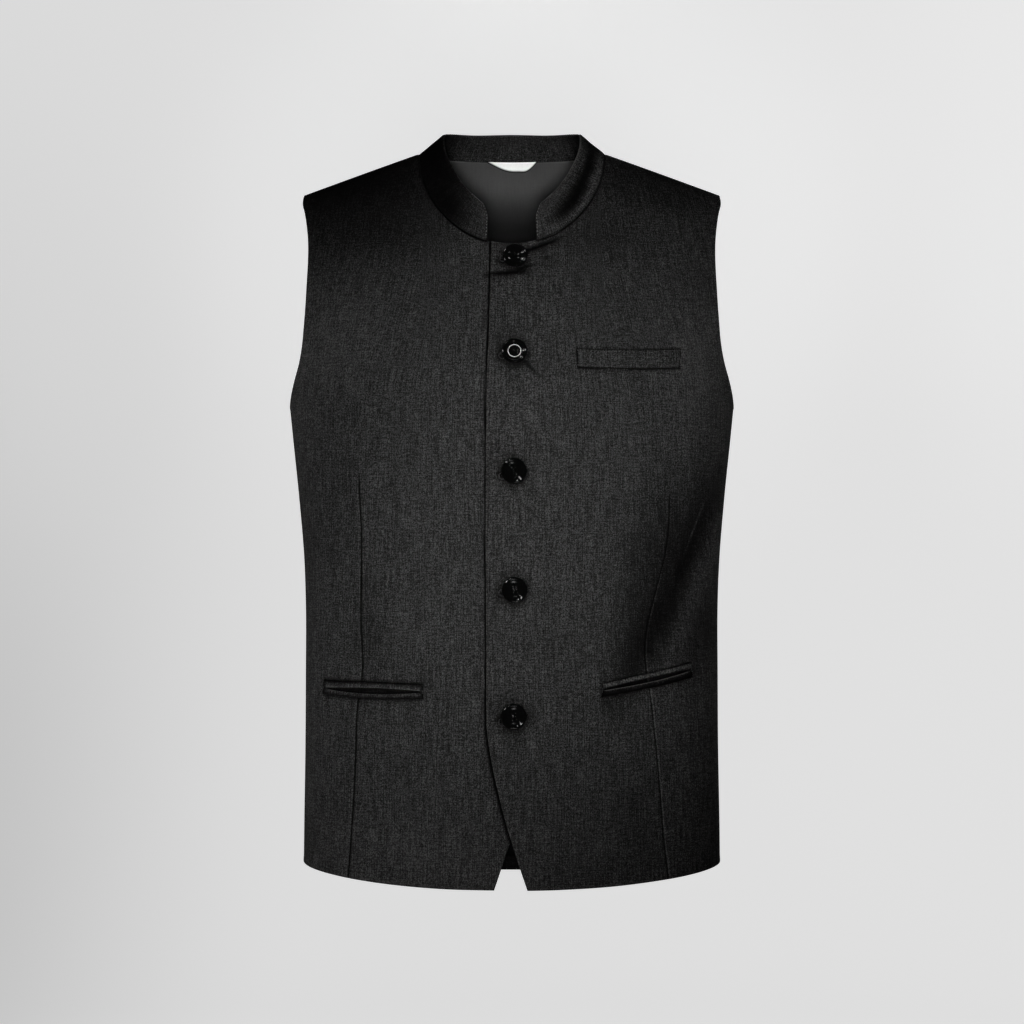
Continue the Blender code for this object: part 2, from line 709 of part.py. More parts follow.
def main():
    for leftover in list(bpy.data.objects):
        bpy.data.objects.remove(leftover, do_unlink=True)
    cloth = new_material("black_suiting", (0.021, 0.021, 0.022), 0.82)
    lining = new_material("grey_lining", (0.060, 0.060, 0.062), 0.55)
    label = new_material("white_label", (0.75, 0.75, 0.74), 0.70)
    gloss = new_material("black_gloss", (0.008, 0.008, 0.008), 0.16)
    silver = new_material("silver_inlay", (0.80, 0.80, 0.80), 0.25, 1.0)

    make_front("front_right", -1, cloth)
    front_left = make_front("front_left", 1, cloth)
    make_back(cloth)
    make_lining(lining)
    make_collar(cloth)
    make_label(label)

    strip("breast_welt", 1, *BREAST_WELT, WELT_WALL, cloth)
    for name, (hand, *shape) in JETS.items():
        strip(name, hand, *shape, JET_WALL, cloth)

    for number, place in enumerate(BUTTON_PLACES, start=1):
        cut_buttonhole(front_left, number, place)
        make_button(number, place, gloss)
    make_button_ring(BUTTON_PLACES[RINGED_BUTTON - 1], silver)


main()
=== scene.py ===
import math

import bpy
import numpy as np
from mathutils import Matrix, Vector


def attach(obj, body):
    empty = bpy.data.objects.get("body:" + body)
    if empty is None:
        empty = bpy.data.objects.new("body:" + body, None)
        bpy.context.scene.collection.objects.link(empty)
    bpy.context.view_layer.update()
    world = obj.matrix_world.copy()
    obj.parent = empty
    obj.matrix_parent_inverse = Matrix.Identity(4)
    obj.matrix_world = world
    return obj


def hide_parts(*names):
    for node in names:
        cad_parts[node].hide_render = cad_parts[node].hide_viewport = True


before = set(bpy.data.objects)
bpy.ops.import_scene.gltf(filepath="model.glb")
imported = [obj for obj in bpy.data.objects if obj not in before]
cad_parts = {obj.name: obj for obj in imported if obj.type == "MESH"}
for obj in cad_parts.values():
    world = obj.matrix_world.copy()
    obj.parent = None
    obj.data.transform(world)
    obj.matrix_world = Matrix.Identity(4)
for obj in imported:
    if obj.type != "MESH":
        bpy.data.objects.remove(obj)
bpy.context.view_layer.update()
scene = bpy.context.scene
print("frame loaded with", len(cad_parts), "nodes")

# the form that every cloth piece follows
wornForm = {
    "sectionPower": 2.3,
    "sectionAspect": 0.6,
    "shoulderPeak": 0.0316,
    "shoulderSlope": 0.37,
    "shoulderRound": 0.030,
    "shoulderRoll": 0.100,
    "rows": (  # height, half breadth, front depth, back depth
        (-0.720, 0.1944, 0.1180, 0.1130),
        (-0.665, 0.1941, 0.1170, 0.1110),
        (-0.622, 0.1936, 0.1155, 0.1070),
        (-0.566, 0.1927, 0.1135, 0.1010),
        (-0.490, 0.1922, 0.1120, 0.0940),
        (-0.425, 0.1922, 0.1130, 0.0925),
        (-0.383, 0.1936, 0.1155, 0.0950),
        (-0.326, 0.1983, 0.1200, 0.1015),
        (-0.270, 0.2040, 0.1235, 0.1085),
        (-0.2416, 0.2068, 0.1235, 0.1110),
        (-0.200, 0.2110, 0.1160, 0.1125),
        (-0.150, 0.2145, 0.0980, 0.1100),
        (-0.090, 0.2170, 0.0690, 0.0980),
        (-0.050, 0.2180, 0.0600, 0.0880),
        (0.010, 0.2180, 0.0560, 0.0880),
    ),
}
formHeights, formBreadths, formFronts, formBacks = np.array(wornForm["rows"]).T

outline = {
    "hemSide": -0.6646,
    "frontHemDrop": 0.0123,
    "backHemDrop": 0.0242,
    "hemPower": 2.2,
    "neckHalfBreadth": 0.0855,
    "frontNeckDrop": 0.0925,
    "backNeckHeight": -0.0015,
    "shoulderTip": 0.1950,
    "underarm": -0.2416,
    "underarmShare": 0.68,
    "neckShare": 0.4667,
    "slideStart": 0.86,  # from here up the columns slide to the neck point
    "lap": (  # height, how far past the centre the front reaches
        (-0.600, 0.0228),
        (-0.500, 0.0229),
        (-0.250, 0.0227),
        (-0.210, 0.0221),
        (-0.180, 0.0207),
        (-0.150, 0.0199),
        (-0.0925, 0.0190),
    ),
    "cutawayStart": -0.5250,
    "cutawayDrop": 0.1515,
    "cutawayDepth": 0.0367,
    "cutawayPower": 1.45,
    "lapShift": 0.0013,
    "lapFade": (0.030, 0.060),
    "armhole": (  # height, half breadth
        (-0.2416, 0.2068),
        (-0.2284, 0.2038),
        (-0.2150, 0.2000),
        (-0.2016, 0.1959),
        (-0.1882, 0.1931),
        (-0.1610, 0.1903),
        (-0.1335, 0.1889),
        (-0.0766, 0.1901),
        (-0.0590, 0.1932),
        (-0.0500, 0.1955),
    ),
}
lapHeights, lapReaches = np.array(outline["lap"]).T


def curveThrough(knots, values, at):
    # a cubic through the knots whose slope at each knot comes from its neighbours
    slopes = np.gradient(values, knots)
    at = np.clip(at, knots[0], knots[-1])
    i = np.clip(np.searchsorted(knots, at) - 1, 0, len(knots) - 2)
    step = knots[i + 1] - knots[i]
    t = (at - knots[i]) / step
    bends = (t - 2 * t**2 + t**3) * step * slopes[i] + (t**3 - t**2) * step * slopes[i + 1]
    return values[i] + (3 * t**2 - 2 * t**3) * (values[i + 1] - values[i]) + bends


def softStep(low, high, at):
    # 0 below low, 1 above high, 3t^2 - 2t^3 between
    t = np.clip((at - low) / (high - low), 0, 1)
    return t * t * (3 - 2 * t)


def bell(distance, width):
    # e to the minus (distance / width) squared
    return np.exp(-((distance / width) ** 2))


def sectionTable():
    # a quarter superellipse: breadth = sin^(2/p), depth = cos^(2/p), with the share of its length
    power, aspect = wornForm["sectionPower"], wornForm["sectionAspect"]
    angle = np.linspace(0, math.pi / 2, 1200)
    breadth = np.sin(angle) ** (2 / power)
    depth = np.abs(np.cos(angle)) ** (2 / power)
    length = np.cumsum(np.hypot(np.diff(breadth), aspect * np.diff(depth)))
    return np.concatenate([[0], length / length[-1]]), breadth, depth


alongTable, breadthTable, depthTable = sectionTable()


def breadthAt(along, height):
    # the form's half breadth x the section's share
    share = np.sign(along) * np.interp(np.abs(along), alongTable, breadthTable)
    return share * curveThrough(formHeights, formBreadths, height)


def alongAt(x, height):
    # the share of the half girth at which the form is x wide
    share = np.abs(x) / curveThrough(formHeights, formBreadths, height)
    return np.sign(x) * np.interp(share, breadthTable, alongTable)


def shoulderLine(x):
    # peak less slope times the root of x^2 + round^2
    rounded = np.sqrt(x**2 + wornForm["shoulderRound"] ** 2)
    return wornForm["shoulderPeak"] - wornForm["shoulderSlope"] * rounded


def onTorso(along, height, side):
    # depth = the form's depth x the section's curve x the shoulder's roll; side -1 front, +1 back
    along, height = np.broadcast_arrays(np.asarray(along, float), np.asarray(height, float))
    power, roundness = wornForm["sectionPower"], wornForm["shoulderRound"]
    slope, rollDrop = wornForm["shoulderSlope"], wornForm["shoulderRoll"]
    depths = formFronts if side < 0 else formBacks
    share = np.sign(along) * np.interp(np.abs(along), alongTable, breadthTable)
    curve = np.interp(np.abs(along), alongTable, depthTable)
    half = curveThrough(formHeights, formBreadths, height)
    deep = curveThrough(formHeights, depths, height)
    step = 0.0005
    halfSlope, deepSlope = (
        (curveThrough(formHeights, column, height + step)
         - curveThrough(formHeights, column, height - step)) / (2 * step)
        for column in (formBreadths, depths)
    )
    x = half * share
    below = np.clip((shoulderLine(x) - height) / rollDrop, 1e-6, 1)
    roll = np.sqrt(1 - (1 - below) ** 2)
    rollSlope = (1 - below) / roll / rollDrop
    lineSlope = -slope * x / np.sqrt(x**2 + roundness**2)
    curveSlope = -np.sign(share) * (np.abs(share) / np.maximum(curve, 1e-4)) ** (power - 1)
    reachX = deep * (curveSlope / half * roll + curve * rollSlope * lineSlope)
    narrowing = -curveSlope * share * halfSlope / half
    reachZ = deepSlope * curve * roll + deep * (narrowing * roll - curve * rollSlope)
    points = np.stack([x, side * deep * curve * roll, height], axis=-1)
    normals = np.stack([-reachX, np.full_like(x, side), -reachZ], axis=-1)
    return points, normals / np.linalg.norm(normals, axis=-1, keepdims=True)


def frontEdge(height):
    # how far past the centre a front reaches: its lap, less a cutaway of fall to a power
    fall = np.maximum(outline["cutawayStart"] - height, 0) / outline["cutawayDrop"]
    cutaway = outline["cutawayDepth"] * fall ** outline["cutawayPower"]
    return curveThrough(lapHeights, lapReaches, height) - cutaway


def hemHeight(along, side):
    # the side's height less a drop of 1 - share to a power
    share = np.interp(np.abs(along), alongTable, breadthTable)
    drop = outline["frontHemDrop"] if side < 0 else outline["backHemDrop"]
    return outline["hemSide"] - drop * (1 - share ** outline["hemPower"])


def neckEdge(turn, side):
    # a quarter ellipse from the centre (turn 0) to the shoulder (turn 90)
    x = outline["neckHalfBreadth"] * np.sin(turn)
    top = shoulderLine(outline["neckHalfBreadth"])
    low = -outline["frontNeckDrop"] if side < 0 else outline["backNeckHeight"]
    return x, top + (low - top) * np.cos(turn)


def pathLengths(points):
    # running length along a path from its first point
    return np.concatenate([[0], np.cumsum(np.linalg.norm(np.diff(points, axis=0), axis=1))])


def placeAlong(path, lengths, at):
    # points of a path at the given lengths along it
    return np.stack([np.interp(at, lengths, column) for column in path.T], axis=-1)


def armholeTable():
    # along and height up the armhole, with the share of its length
    rise = np.linspace(0, 1, 800) ** 2
    tip = shoulderLine(outline["shoulderTip"])
    height = outline["underarm"] + (tip - outline["underarm"]) * rise
    heights, breadths = np.array(outline["armhole"]).T
    breadth = curveThrough(
        np.append(heights, tip), np.append(breadths, outline["shoulderTip"]), height)
    along = alongAt(breadth, height)
    along[0] = 1
    points, _ = onTorso(along, height, -1)
    lengths = pathLengths(points)
    return lengths / lengths[-1], along, height


armholeShares, armholeAlongs, armholeHeights = armholeTable()


def frontTipHeight():
    # the hem's height at the front edge, found again at each new breadth
    height = outline["hemSide"] - outline["frontHemDrop"]
    for _ in range(6):
        height = float(hemHeight(alongAt(frontEdge(height), height), -1))
    return height


def centreLine(v, side):
    # the back's centre, or the front edge from its tip up to the neck, as (along, height)
    if side > 0:
        low = hemHeight(0, side)
        return 0 * v, low + (outline["backNeckHeight"] - low) * v
    low = frontTipHeight()
    turn = math.asin(lapReaches[-1] / outline["neckHalfBreadth"])
    height = low + (float(neckEdge(turn, -1)[1]) - low) * v
    return alongAt(-frontEdge(height), height), height


def sideLine(v):
    # the side seam up to the underarm's share of v, and the armhole above it
    share = outline["underarmShare"]
    high = np.clip((v - share) / (1 - share), 0, 1)
    low = outline["hemSide"] + (outline["underarm"] - outline["hemSide"]) * v / share
    along = np.where(v <= share, 1, np.interp(high, armholeShares, armholeAlongs))
    return along, np.where(v <= share, low, np.interp(high, armholeShares, armholeHeights))


def topLine(u, side):
    # the neck edge up to the neck's share of u, and the shoulder seam beyond it
    neck, tip, share = outline["neckHalfBreadth"], outline["shoulderTip"], outline["neckShare"]
    first = 0 if side > 0 else -math.asin(lapReaches[-1] / neck)
    turn = first + (math.pi / 2 - first) * np.clip(u / share, 0, 1)
    neckX, neckZ = neckEdge(turn, side)
    shoulderX = neck + (tip - neck) * np.clip((u - share) / (1 - share), 0, 1)
    x = np.where(u <= share, neckX, shoulderX)
    z = np.where(u <= share, neckZ, shoulderLine(shoulderX))
    return alongAt(x, z), z


def hemLine(u, side):
    # equal shares along the hem, as (along, height)
    first = centreLine(np.zeros(1), side)[0][0]
    along = first + (1 - first) * u
    return along, hemHeight(along, side)


def patchAt(u, v, side):
    # Coons patch: the blend of opposite edges less the blend of the four corners
    ends = np.zeros(1), np.ones(1)
    sides = [(1 - u) * c + u * s for c, s in zip(centreLine(v, side), sideLine(v))]
    caps = [(1 - v) * h + v * t for h, t in zip(hemLine(u, side), topLine(u, side))]
    low = [(1 - u) * a + u * b for a, b in zip(*(hemLine(e, side) for e in ends))]
    high = [(1 - u) * a + u * b for a, b in zip(*(topLine(e, side) for e in ends))]
    return [s + c - (1 - v) * a - v * b for s, c, a, b in zip(sides, caps, low, high)]


def gradedPlaces(length, step, marks):
    # places are equal shares of a density of 1/step with a bell up to 1/fine at each mark
    fine = np.linspace(0, length, 6001)
    density = np.full_like(fine, 1 / step)
    for place, fineStep, spread in marks:
        density += (1 / fineStep - 1 / step) * bell(fine - place, spread)
    total = np.concatenate([[0], np.cumsum((density[1:] + density[:-1]) / 2 * np.diff(fine))])
    places = np.interp(np.linspace(0, total[-1], int(total[-1]) + 1), total, fine)
    for place, _, _ in marks:
        places[np.argmin(np.abs(places - place))] = place
    return places / length


def panelPlaces(spec, side, dart, marks):
    # columns are slid so that one of them runs down the dart and up to the neck point
    columns = gradedPlaces(spec["width"], spec["step"], marks)
    rows = gradedPlaces(spec["height"], spec["step"], spec["rowMarks"])
    dartShare = spec["dartPlace"] / spec["width"]
    columns[np.argmin(np.abs(columns - dartShare))] = dartShare
    tries = np.linspace(0, 1, 601)
    v = rows[:, None]
    along, height = patchAt(tries[None], v, side)
    gap = breadthAt(along, height) - curveThrough(dart[:, 0], dart[:, 1], height)
    after = np.clip(np.argmax(gap > 0, axis=1), 1, len(tries) - 1)
    row = np.arange(len(rows))
    low, high = gap[row, after - 1], gap[row, after]
    crossing = (tries[after - 1] + (tries[1] - tries[0]) * low / (low - high))[:, None]
    crossing = crossing + (outline["neckShare"] - crossing) * softStep(outline["slideStart"], 1, v)
    near = crossing * columns / dartShare
    far = crossing + (1 - crossing) * (columns - dartShare) / (1 - dartShare)
    return patchAt(np.where(columns <= dartShare, near, far), v, side)


def segmentPlace(x, z, x0, z0, x1, z1):
    # share along the line from (x0, z0) to (x1, z1), and the signed distance across it
    run = np.array([x1 - x0, z1 - z0])
    length = np.hypot(*run)
    run = run / length
    share = ((x - x0) * run[0] + (z - z0) * run[1]) / length
    return share, (x - x0) * run[1] - (z - z0) * run[0]


def foldRise(x, z, folds):
    # each fold is a bell across its line, wider on one side by its skew, fading to both ends as
    # a parabola to a power; its shade is painted shade there, a painted highlight when below 0
    rises, paintedShading = np.zeros_like(x), np.zeros_like(x)
    for x0, z0, x1, z1, width, rise, skew, shade in folds:
        share, across = segmentPlace(x, z, x0, z0, x1, z1)
        fade = np.clip(4 * share * (1 - share), 0, 1) ** 1.5
        fade = fade * bell(across, width * (1 + skew * np.tanh(across / width)))
        rises += rise * fade
        paintedShading -= shade * fade
    return rises, paintedShading


ditch = {  # places and widths as shares of the ditch's own width
    "power": 1.4,
    "swellPlace": 4,
    "swellWidth": 3,
    "palePlace": 1.6,
    "paleFade": 0.05,
}


def seamDitch(distance, depth, width, puff=0.0):
    # a trough with steep sides, and a soft swell of the cloth on both sides of it
    across = np.abs(distance)
    swell = puff * bell(across - ditch["swellPlace"] * width, ditch["swellWidth"] * width)
    return swell - depth * np.exp(-((across / width) ** ditch["power"]))


def dartRise(x, z, dart, seam):
    # the seam's ditch at the dart's breadth for that height, fading out above its top end,
    # and its painted shade along the ditch with a painted highlight just beyond it
    line = curveThrough(dart[:, 0], dart[:, 1], z)
    fade = 1 - softStep(seam["top"] - seam["fade"], seam["top"], z)
    if "foot" in seam:
        fade = fade * softStep(seam["foot"], seam["foot"] + seam["fade"], z)
    off, width, paleTop = x - line, seam["width"], seam["paleTop"]
    pale = seam["pale"] * (1 - softStep(paleTop, paleTop + ditch["paleFade"], z))
    paintedShading = pale * bell(off - ditch["palePlace"] * width, width) - seam["dark"] * bell(off, width)
    return fade * seamDitch(off, seam["depth"], width, seam["puff"]), fade * paintedShading


def gridNormals(points):
    # cross product of the grid's slopes along its two axes, made one long
    across, up = np.gradient(points, axis=1), np.gradient(points, axis=0)
    normals = np.cross(across, up)
    return normals / np.maximum(np.linalg.norm(normals, axis=-1, keepdims=True), 1e-12)


def lengthsAlong(points, axis):
    # running length of the grid's lines along one axis
    steps = np.linalg.norm(np.diff(points, axis=axis), axis=-1)
    start = np.zeros_like(np.take(steps, [0], axis=axis))
    return np.concatenate([start, np.cumsum(steps, axis=axis)], axis=axis)


def edgeDistance(points):
    # the least of the running lengths to the grid's four edges
    across, up = lengthsAlong(points, 1), lengthsAlong(points, 0)
    ends = (across, across[:, -1:] - across, up, up[-1:] - up)
    return np.minimum.reduce(ends)


def middleArea(middle):
    # half the cross product of each cell's diagonals, summed
    a, b = middle[1:, 1:] - middle[:-1, :-1], middle[1:, :-1] - middle[:-1, 1:]
    return float(np.linalg.norm(np.cross(a, b), axis=-1).sum() / 2)


def meshPiece(name, points, faces, material, uv=None, paintedShading=None, node=None):
    # a mesh of these points and faces, riding on the one body, with its finish and its stand-in
    mesh = bpy.data.meshes.new(name)
    mesh.from_pydata(np.asarray(points).reshape(-1, 3).tolist(), [], faces)
    if uv is not None:
        corner = np.empty(len(mesh.loops), np.int32)
        mesh.loops.foreach_get("vertex_index", corner)
        layer = mesh.uv_layers.new(name="cloth")
        layer.data.foreach_set("uv", uv[corner].astype(np.float32).ravel())
        # the attribute holds stops of painted light and shade, with the edges' rub and its painted
        # highlight
        rubAndPaintedShading = mesh.attributes.new("rubAndPaintedShading", "FLOAT", "POINT")
        rubAndPaintedShading.data.foreach_set("value", paintedShading.astype(np.float32).ravel())
    mesh.materials.append(material)
    mesh.shade_smooth()
    piece = bpy.data.objects.new(name, mesh)
    scene.collection.objects.link(piece)
    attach(piece, "root")
    if node:
        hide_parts(node)
    return piece


def flattened(grid):
    # one row for each point of a grid
    return grid.reshape(grid.shape[0] * grid.shape[1], -1)


def wrapped(index):
    # a grid of point numbers with its first column again at its end
    return np.hstack([index, index[:, :1]])


def quadsOf(index):
    # the four corners of each cell of a grid of point numbers
    low, high = index[:-1], index[1:]
    return np.stack([low[:, :-1], low[:, 1:], high[:, 1:], high[:, :-1]], axis=-1).reshape(-1, 4)


# rub makes the edges paler: rubbed wear together with a painted highlight
shellEdge = {"bead": 0.25, "rubAndHighlight": 0.3, "rubAndHighlightWidth": 0.0012}


def clothPiece(name, node, slot, spec, middle, outward, uv, paintedShading=0.0, innerPaintedShading=0.0):
    # both faces stand half the wall off the middle and close in a half round within edge
    wall, edge = spec["wall"], spec["edge"]
    normals = gridNormals(middle)
    normals *= np.sign((normals * outward).sum(-1, keepdims=True).sum())
    away = edgeDistance(middle)
    rounded = np.sqrt(1 - (1 - np.clip(away / edge, 0, 1)) ** 2)
    bead = 1 + shellEdge["bead"] * bell(away - 2 * edge, 4 * edge)
    half = (wall / 2 * rounded * bead)[..., None]
    # edges paler: rubbed wear with a painted highlight; to each face its painted light and shade
    rubAndHighlight = shellEdge["rubAndHighlight"] * bell(away, shellEdge["rubAndHighlightWidth"])
    core = np.s_[1:-1, 1:-1]  # the two faces share the points of the grid's rim
    outer = np.arange(away.size).reshape(away.shape)
    inner = outer.copy()
    inner[core] = away.size + np.arange(inner[core].size).reshape(inner[core].shape)
    points, uvs, rubAndShading = (
        np.concatenate([flattened(outside), flattened(inside[core])])
        for outside, inside in (
            (middle + normals * half, middle - normals * half),
            (uv, uv),
            (rubAndHighlight + paintedShading, rubAndHighlight + innerPaintedShading),
        )
    )
    quads = [quadsOf(outer), quadsOf(inner)]
    a, b, c = middle[1, 1], middle[1, 2], middle[2, 1]
    turned = np.dot(np.cross(b - a, c - a), normals[1, 1]) < 0
    quads[0 if turned else 1] = quads[0 if turned else 1][:, ::-1]
    print(name, middle.shape, "area", round(middleArea(middle), 5))
    faces = np.concatenate(quads).tolist()
    return meshPiece(name, points, faces, cloths[slot], uvs, rubAndShading, node)


grain = {
    "slubSpan": (0.36, 0.64),
    "weftStretch": 2,
    "bandStretch": 14,
    "scratchStretch": 12,
    "waveRun": 0.314,  # a Wave node's bands are this far apart at scale 1
    "clothSpan": (0.3, 0.7),
    "hardSpan": (0.2, 0.8),
    "threadRise": 0.6,
    "weaveRise": 0.8,
    "blotchTone": 1.2,
    "scratchTone": 0.8,
    "seamOffset": 0.3,
}


def clothUv(middle, x, z):
    # metres on the flat cloth: signed length along the row plus an offset, and height
    across = lengthsAlong(middle, 1)
    nearest = np.abs(x).argmin(axis=1)[:, None]
    start, offset = (np.take_along_axis(values, nearest, 1) for values in (across, x))
    turn = np.sign(x[:, -1:] - x[:, :1])
    return np.stack([turn * (across - start + grain["seamOffset"]) + offset, z], axis=-1)


def newMaterial(name):
    # a material with its node tree and its shader
    material = bpy.data.materials.new(name)
    material.use_nodes = True
    return material, material.node_tree, material.node_tree.nodes["Principled BSDF"]


def addNode(tree, kind, links=None, values=None, **settings):
    # a node with its settings, numbers and links; gives its first output
    node = tree.nodes.new("ShaderNode" + kind)
    for key, value in settings.items():
        setattr(node, key, value)
    for socket, value in (values or {}).items():
        node.inputs[socket].default_value = value
    for socket, source in (links or {}).items():
        tree.links.new(source, node.inputs[socket])
    return node.outputs[0]


def stretchedNoise(tree, where, scale, detail=2.0, rough=0.6):
    # noise whose grain is 1/scale long each way
    moved = addNode(tree, "Mapping", {"Vector": where}, {"Scale": scale})
    return addNode(tree, "TexNoise", {"Vector": moved},
                   {"Scale": 1.0, "Detail": detail, "Roughness": rough})


def sharpened(tree, source):
    # 3t^2 - 2t^3 over the middle of its span, so thick and thin stretches of thread stand apart
    low, high = grain["slubSpan"]
    return addNode(tree, "MapRange", {"Value": source}, {"From Min": low, "From Max": high},
                   interpolation_type="SMOOTHSTEP")


def weightedSum(tree, start, parts):
    # start + the sum of weight x (source - 0.5)
    total = addNode(tree, "Value")
    total.default_value = start - 0.5 * sum(weight for _, weight in parts)
    for source, weight in parts:
        total = addNode(tree, "Math", {0: source, 2: total}, {1: weight}, operation="MULTIPLY_ADD")
    return total


def finishShader(tree, shader, look, tone, rough, span, height):
    # colour from dark to light by tone, roughness between its two by rough, and bump by height
    mixed = tree.nodes.new("ShaderNodeMix")
    mixed.data_type = "RGBA"
    mixed.inputs["A"].default_value = (*look["dark"], 1)
    mixed.inputs["B"].default_value = (*look["light"], 1)
    tree.links.new(tone, mixed.inputs["Factor"])
    tree.links.new(mixed.outputs["Result"], shader.inputs["Base Color"])
    rough = addNode(tree, "MapRange", {"Value": rough},
                    {"From Min": span[0], "From Max": span[1],
                     "To Min": look["rough"][0], "To Max": look["rough"][1]})
    tree.links.new(rough, shader.inputs["Roughness"])
    bump = addNode(tree, "Bump", {"Height": height},
                   {"Strength": look["bump"], "Distance": look["bumpDepth"]})
    tree.links.new(bump, shader.inputs["Normal"])
    shader.inputs["Specular IOR Level"].default_value = look["specular"]


def wovenMaterial(name, look):
    # tone x 2 to the sum of painted light and shade (with the edges' rub), slubs along both
    # threads, flecks, weave, bands and clouds; each fleck is one cell of its own random tone
    material, tree, shader = newMaterial(name)
    where = addNode(tree, "UVMap", uv_map="cloth")
    fine, long = look["slub"]
    warp = sharpened(tree, stretchedNoise(tree, where, (fine, long, 1)))
    weft = sharpened(tree, stretchedNoise(tree, where, (long * grain["weftStretch"], fine, 1)))
    cells = addNode(tree, "Mapping", {"Vector": where}, {"Scale": (*look["fleck"], 1)})
    addNode(tree, "TexVoronoi", {"Vector": cells}, {"Scale": 1.0})
    fleck = tree.nodes[-1].outputs["Color"]
    cloud = stretchedNoise(tree, where, (look["cloud"],) * 3, 3.0)
    band = stretchedNoise(tree, where, (look["band"], look["band"] / grain["bandStretch"], 1))
    waves = [
        addNode(tree, "TexWave", {"Vector": where}, {"Scale": grain["waveRun"] / look["pitch"]},
                bands_direction=direction)
        for direction in "XY"
    ]
    weave = addNode(tree, "Math", {0: waves[0], 1: waves[1]}, operation="MULTIPLY")
    # stops of painted light and shade, with the edges' rub, read from the mesh's attribute
    addNode(tree, "Attribute", attribute_name="rubAndPaintedShading")
    rubAndPaintedShading = tree.nodes[-1].outputs["Fac"]
    sources = {"warp": warp, "weft": weft, "fleck": fleck, "cloud": cloud, "band": band,
               "weave": weave}
    weighted = [(sources[key], weight) for key, weight in look["weights"].items()]
    stops = addNode(tree, "Math", {0: weightedSum(tree, 0.0, weighted), 1: rubAndPaintedShading}, operation="ADD")
    tone = addNode(tree, "Math", {1: stops}, {0: 2.0}, operation="POWER")
    tone = addNode(tree, "Math", {0: tone}, {1: look["tone"]}, operation="MULTIPLY", use_clamp=True)
    rise = grain["threadRise"]
    height = weightedSum(tree, 0.5, ((warp, rise), (weft, rise), (weave, grain["weaveRise"])))
    finishShader(tree, shader, look, tone, cloud, grain["clothSpan"], height)
    return material


def hardMaterial(name, look):
    # fine scratches and soft blotches in roughness and colour, on object coordinates
    material, tree, shader = newMaterial(name)
    addNode(tree, "TexCoord")
    where = tree.nodes[-1].outputs["Object"]
    blotch = stretchedNoise(tree, where, (look["blotch"],) * 3, 3.0)
    fine, long = look["scratch"], look["scratch"] / grain["scratchStretch"]
    scratch = stretchedNoise(tree, where, (fine, long, fine))
    weights = (blotch, grain["blotchTone"]), (scratch, grain["scratchTone"])
    tone = weightedSum(tree, 0.5, weights)
    finishShader(tree, shader, look, tone, tone, grain["hardSpan"], tone)
    shader.inputs["Metallic"].default_value = look["metallic"]
    return material


clothLooks = {
    "suiting": {
        "name": "blackSuiting",
        "slub": (900.0, 34.0), "fleck": (1350.0, 1350.0), "cloud": 14.0, "band": 90.0,
        "pitch": 0.00062, "tone": 0.31,
        "weights": {
            "warp": 1.1, "weft": 0.8, "fleck": 4.0, "cloud": 0.35, "band": 0.5, "weave": 0.3},
        "dark": (0.0004, 0.0004, 0.0004), "light": (0.0446, 0.0440, 0.0434),
        "rough": (0.86, 0.96), "bump": 0.5, "bumpDepth": 0.0002, "specular": 0.03,
    },
    "lining": {
        "name": "greyLining",
        "slub": (1500.0, 60.0), "fleck": (1200.0, 1200.0), "cloud": 10.0, "band": 120.0,
        "pitch": 0.0004, "tone": 0.45,
        "weights": {
            "warp": 0.15, "weft": 0.1, "fleck": 0.1, "cloud": 0.5, "band": 0.2, "weave": 0.1},
        "dark": (0.0010, 0.0010, 0.0011), "light": (0.0527, 0.0525, 0.0521),
        "rough": (0.42, 0.55), "bump": 0.15, "bumpDepth": 0.0001, "specular": 0.04,
    },
    "label": {
        "name": "whiteTape",
        "slub": (1800.0, 200.0), "fleck": (1500.0, 1500.0), "cloud": 60.0, "band": 300.0,
        "pitch": 0.0005, "tone": 0.93,
        "weights": {
            "warp": 0.06, "weft": 0.06, "fleck": 0.06, "cloud": 0.1, "band": 0.04, "weave": 0.2},
        "dark": (0.001, 0.001, 0.001), "light": (0.90, 0.90, 0.89),
        "rough": (0.55, 0.70), "bump": 0.3, "bumpDepth": 0.0001, "specular": 0.02,
    },
}
cloths = {slot: wovenMaterial(look["name"], look) for slot, look in clothLooks.items()}
thread = {"blotch": 900.0, "scratch": 5200.0, "bump": 0.6, "bumpDepth": 0.0002, "metallic": 0.0}
hardLooks = {
    "blackGloss": {
        "blotch": 260.0, "scratch": 1800.0, "dark": (0.0002, 0.0002, 0.0002),
        "light": (0.0008, 0.0008, 0.0008), "rough": (0.05, 0.09), "bump": 0.02,
        "bumpDepth": 0.0001, "metallic": 0.0, "specular": 0.50,
    },
    # a pale grey, slightly metallic ring for the second button
    "paleRing": {
        "blotch": 400.0, "scratch": 2400.0, "dark": (0.32, 0.32, 0.32),
        "light": (0.46, 0.46, 0.46), "rough": (0.20, 0.34), "bump": 0.05,
        "bumpDepth": 0.0001, "metallic": 0.2, "specular": 0.5,
    },
    "blackThread": {
        **thread, "dark": (0.003, 0.003, 0.003), "light": (0.016, 0.016, 0.016),
        "rough": (0.45, 0.65), "specular": 0.3,
    },
    "greyThread": {
        **thread, "dark": (0.030, 0.030, 0.030), "light": (0.120, 0.120, 0.120),
        "rough": (0.55, 0.75), "specular": 0.2,
    },
}
hards = {name: hardMaterial(name, look) for name, look in hardLooks.items()}
print("materials made")

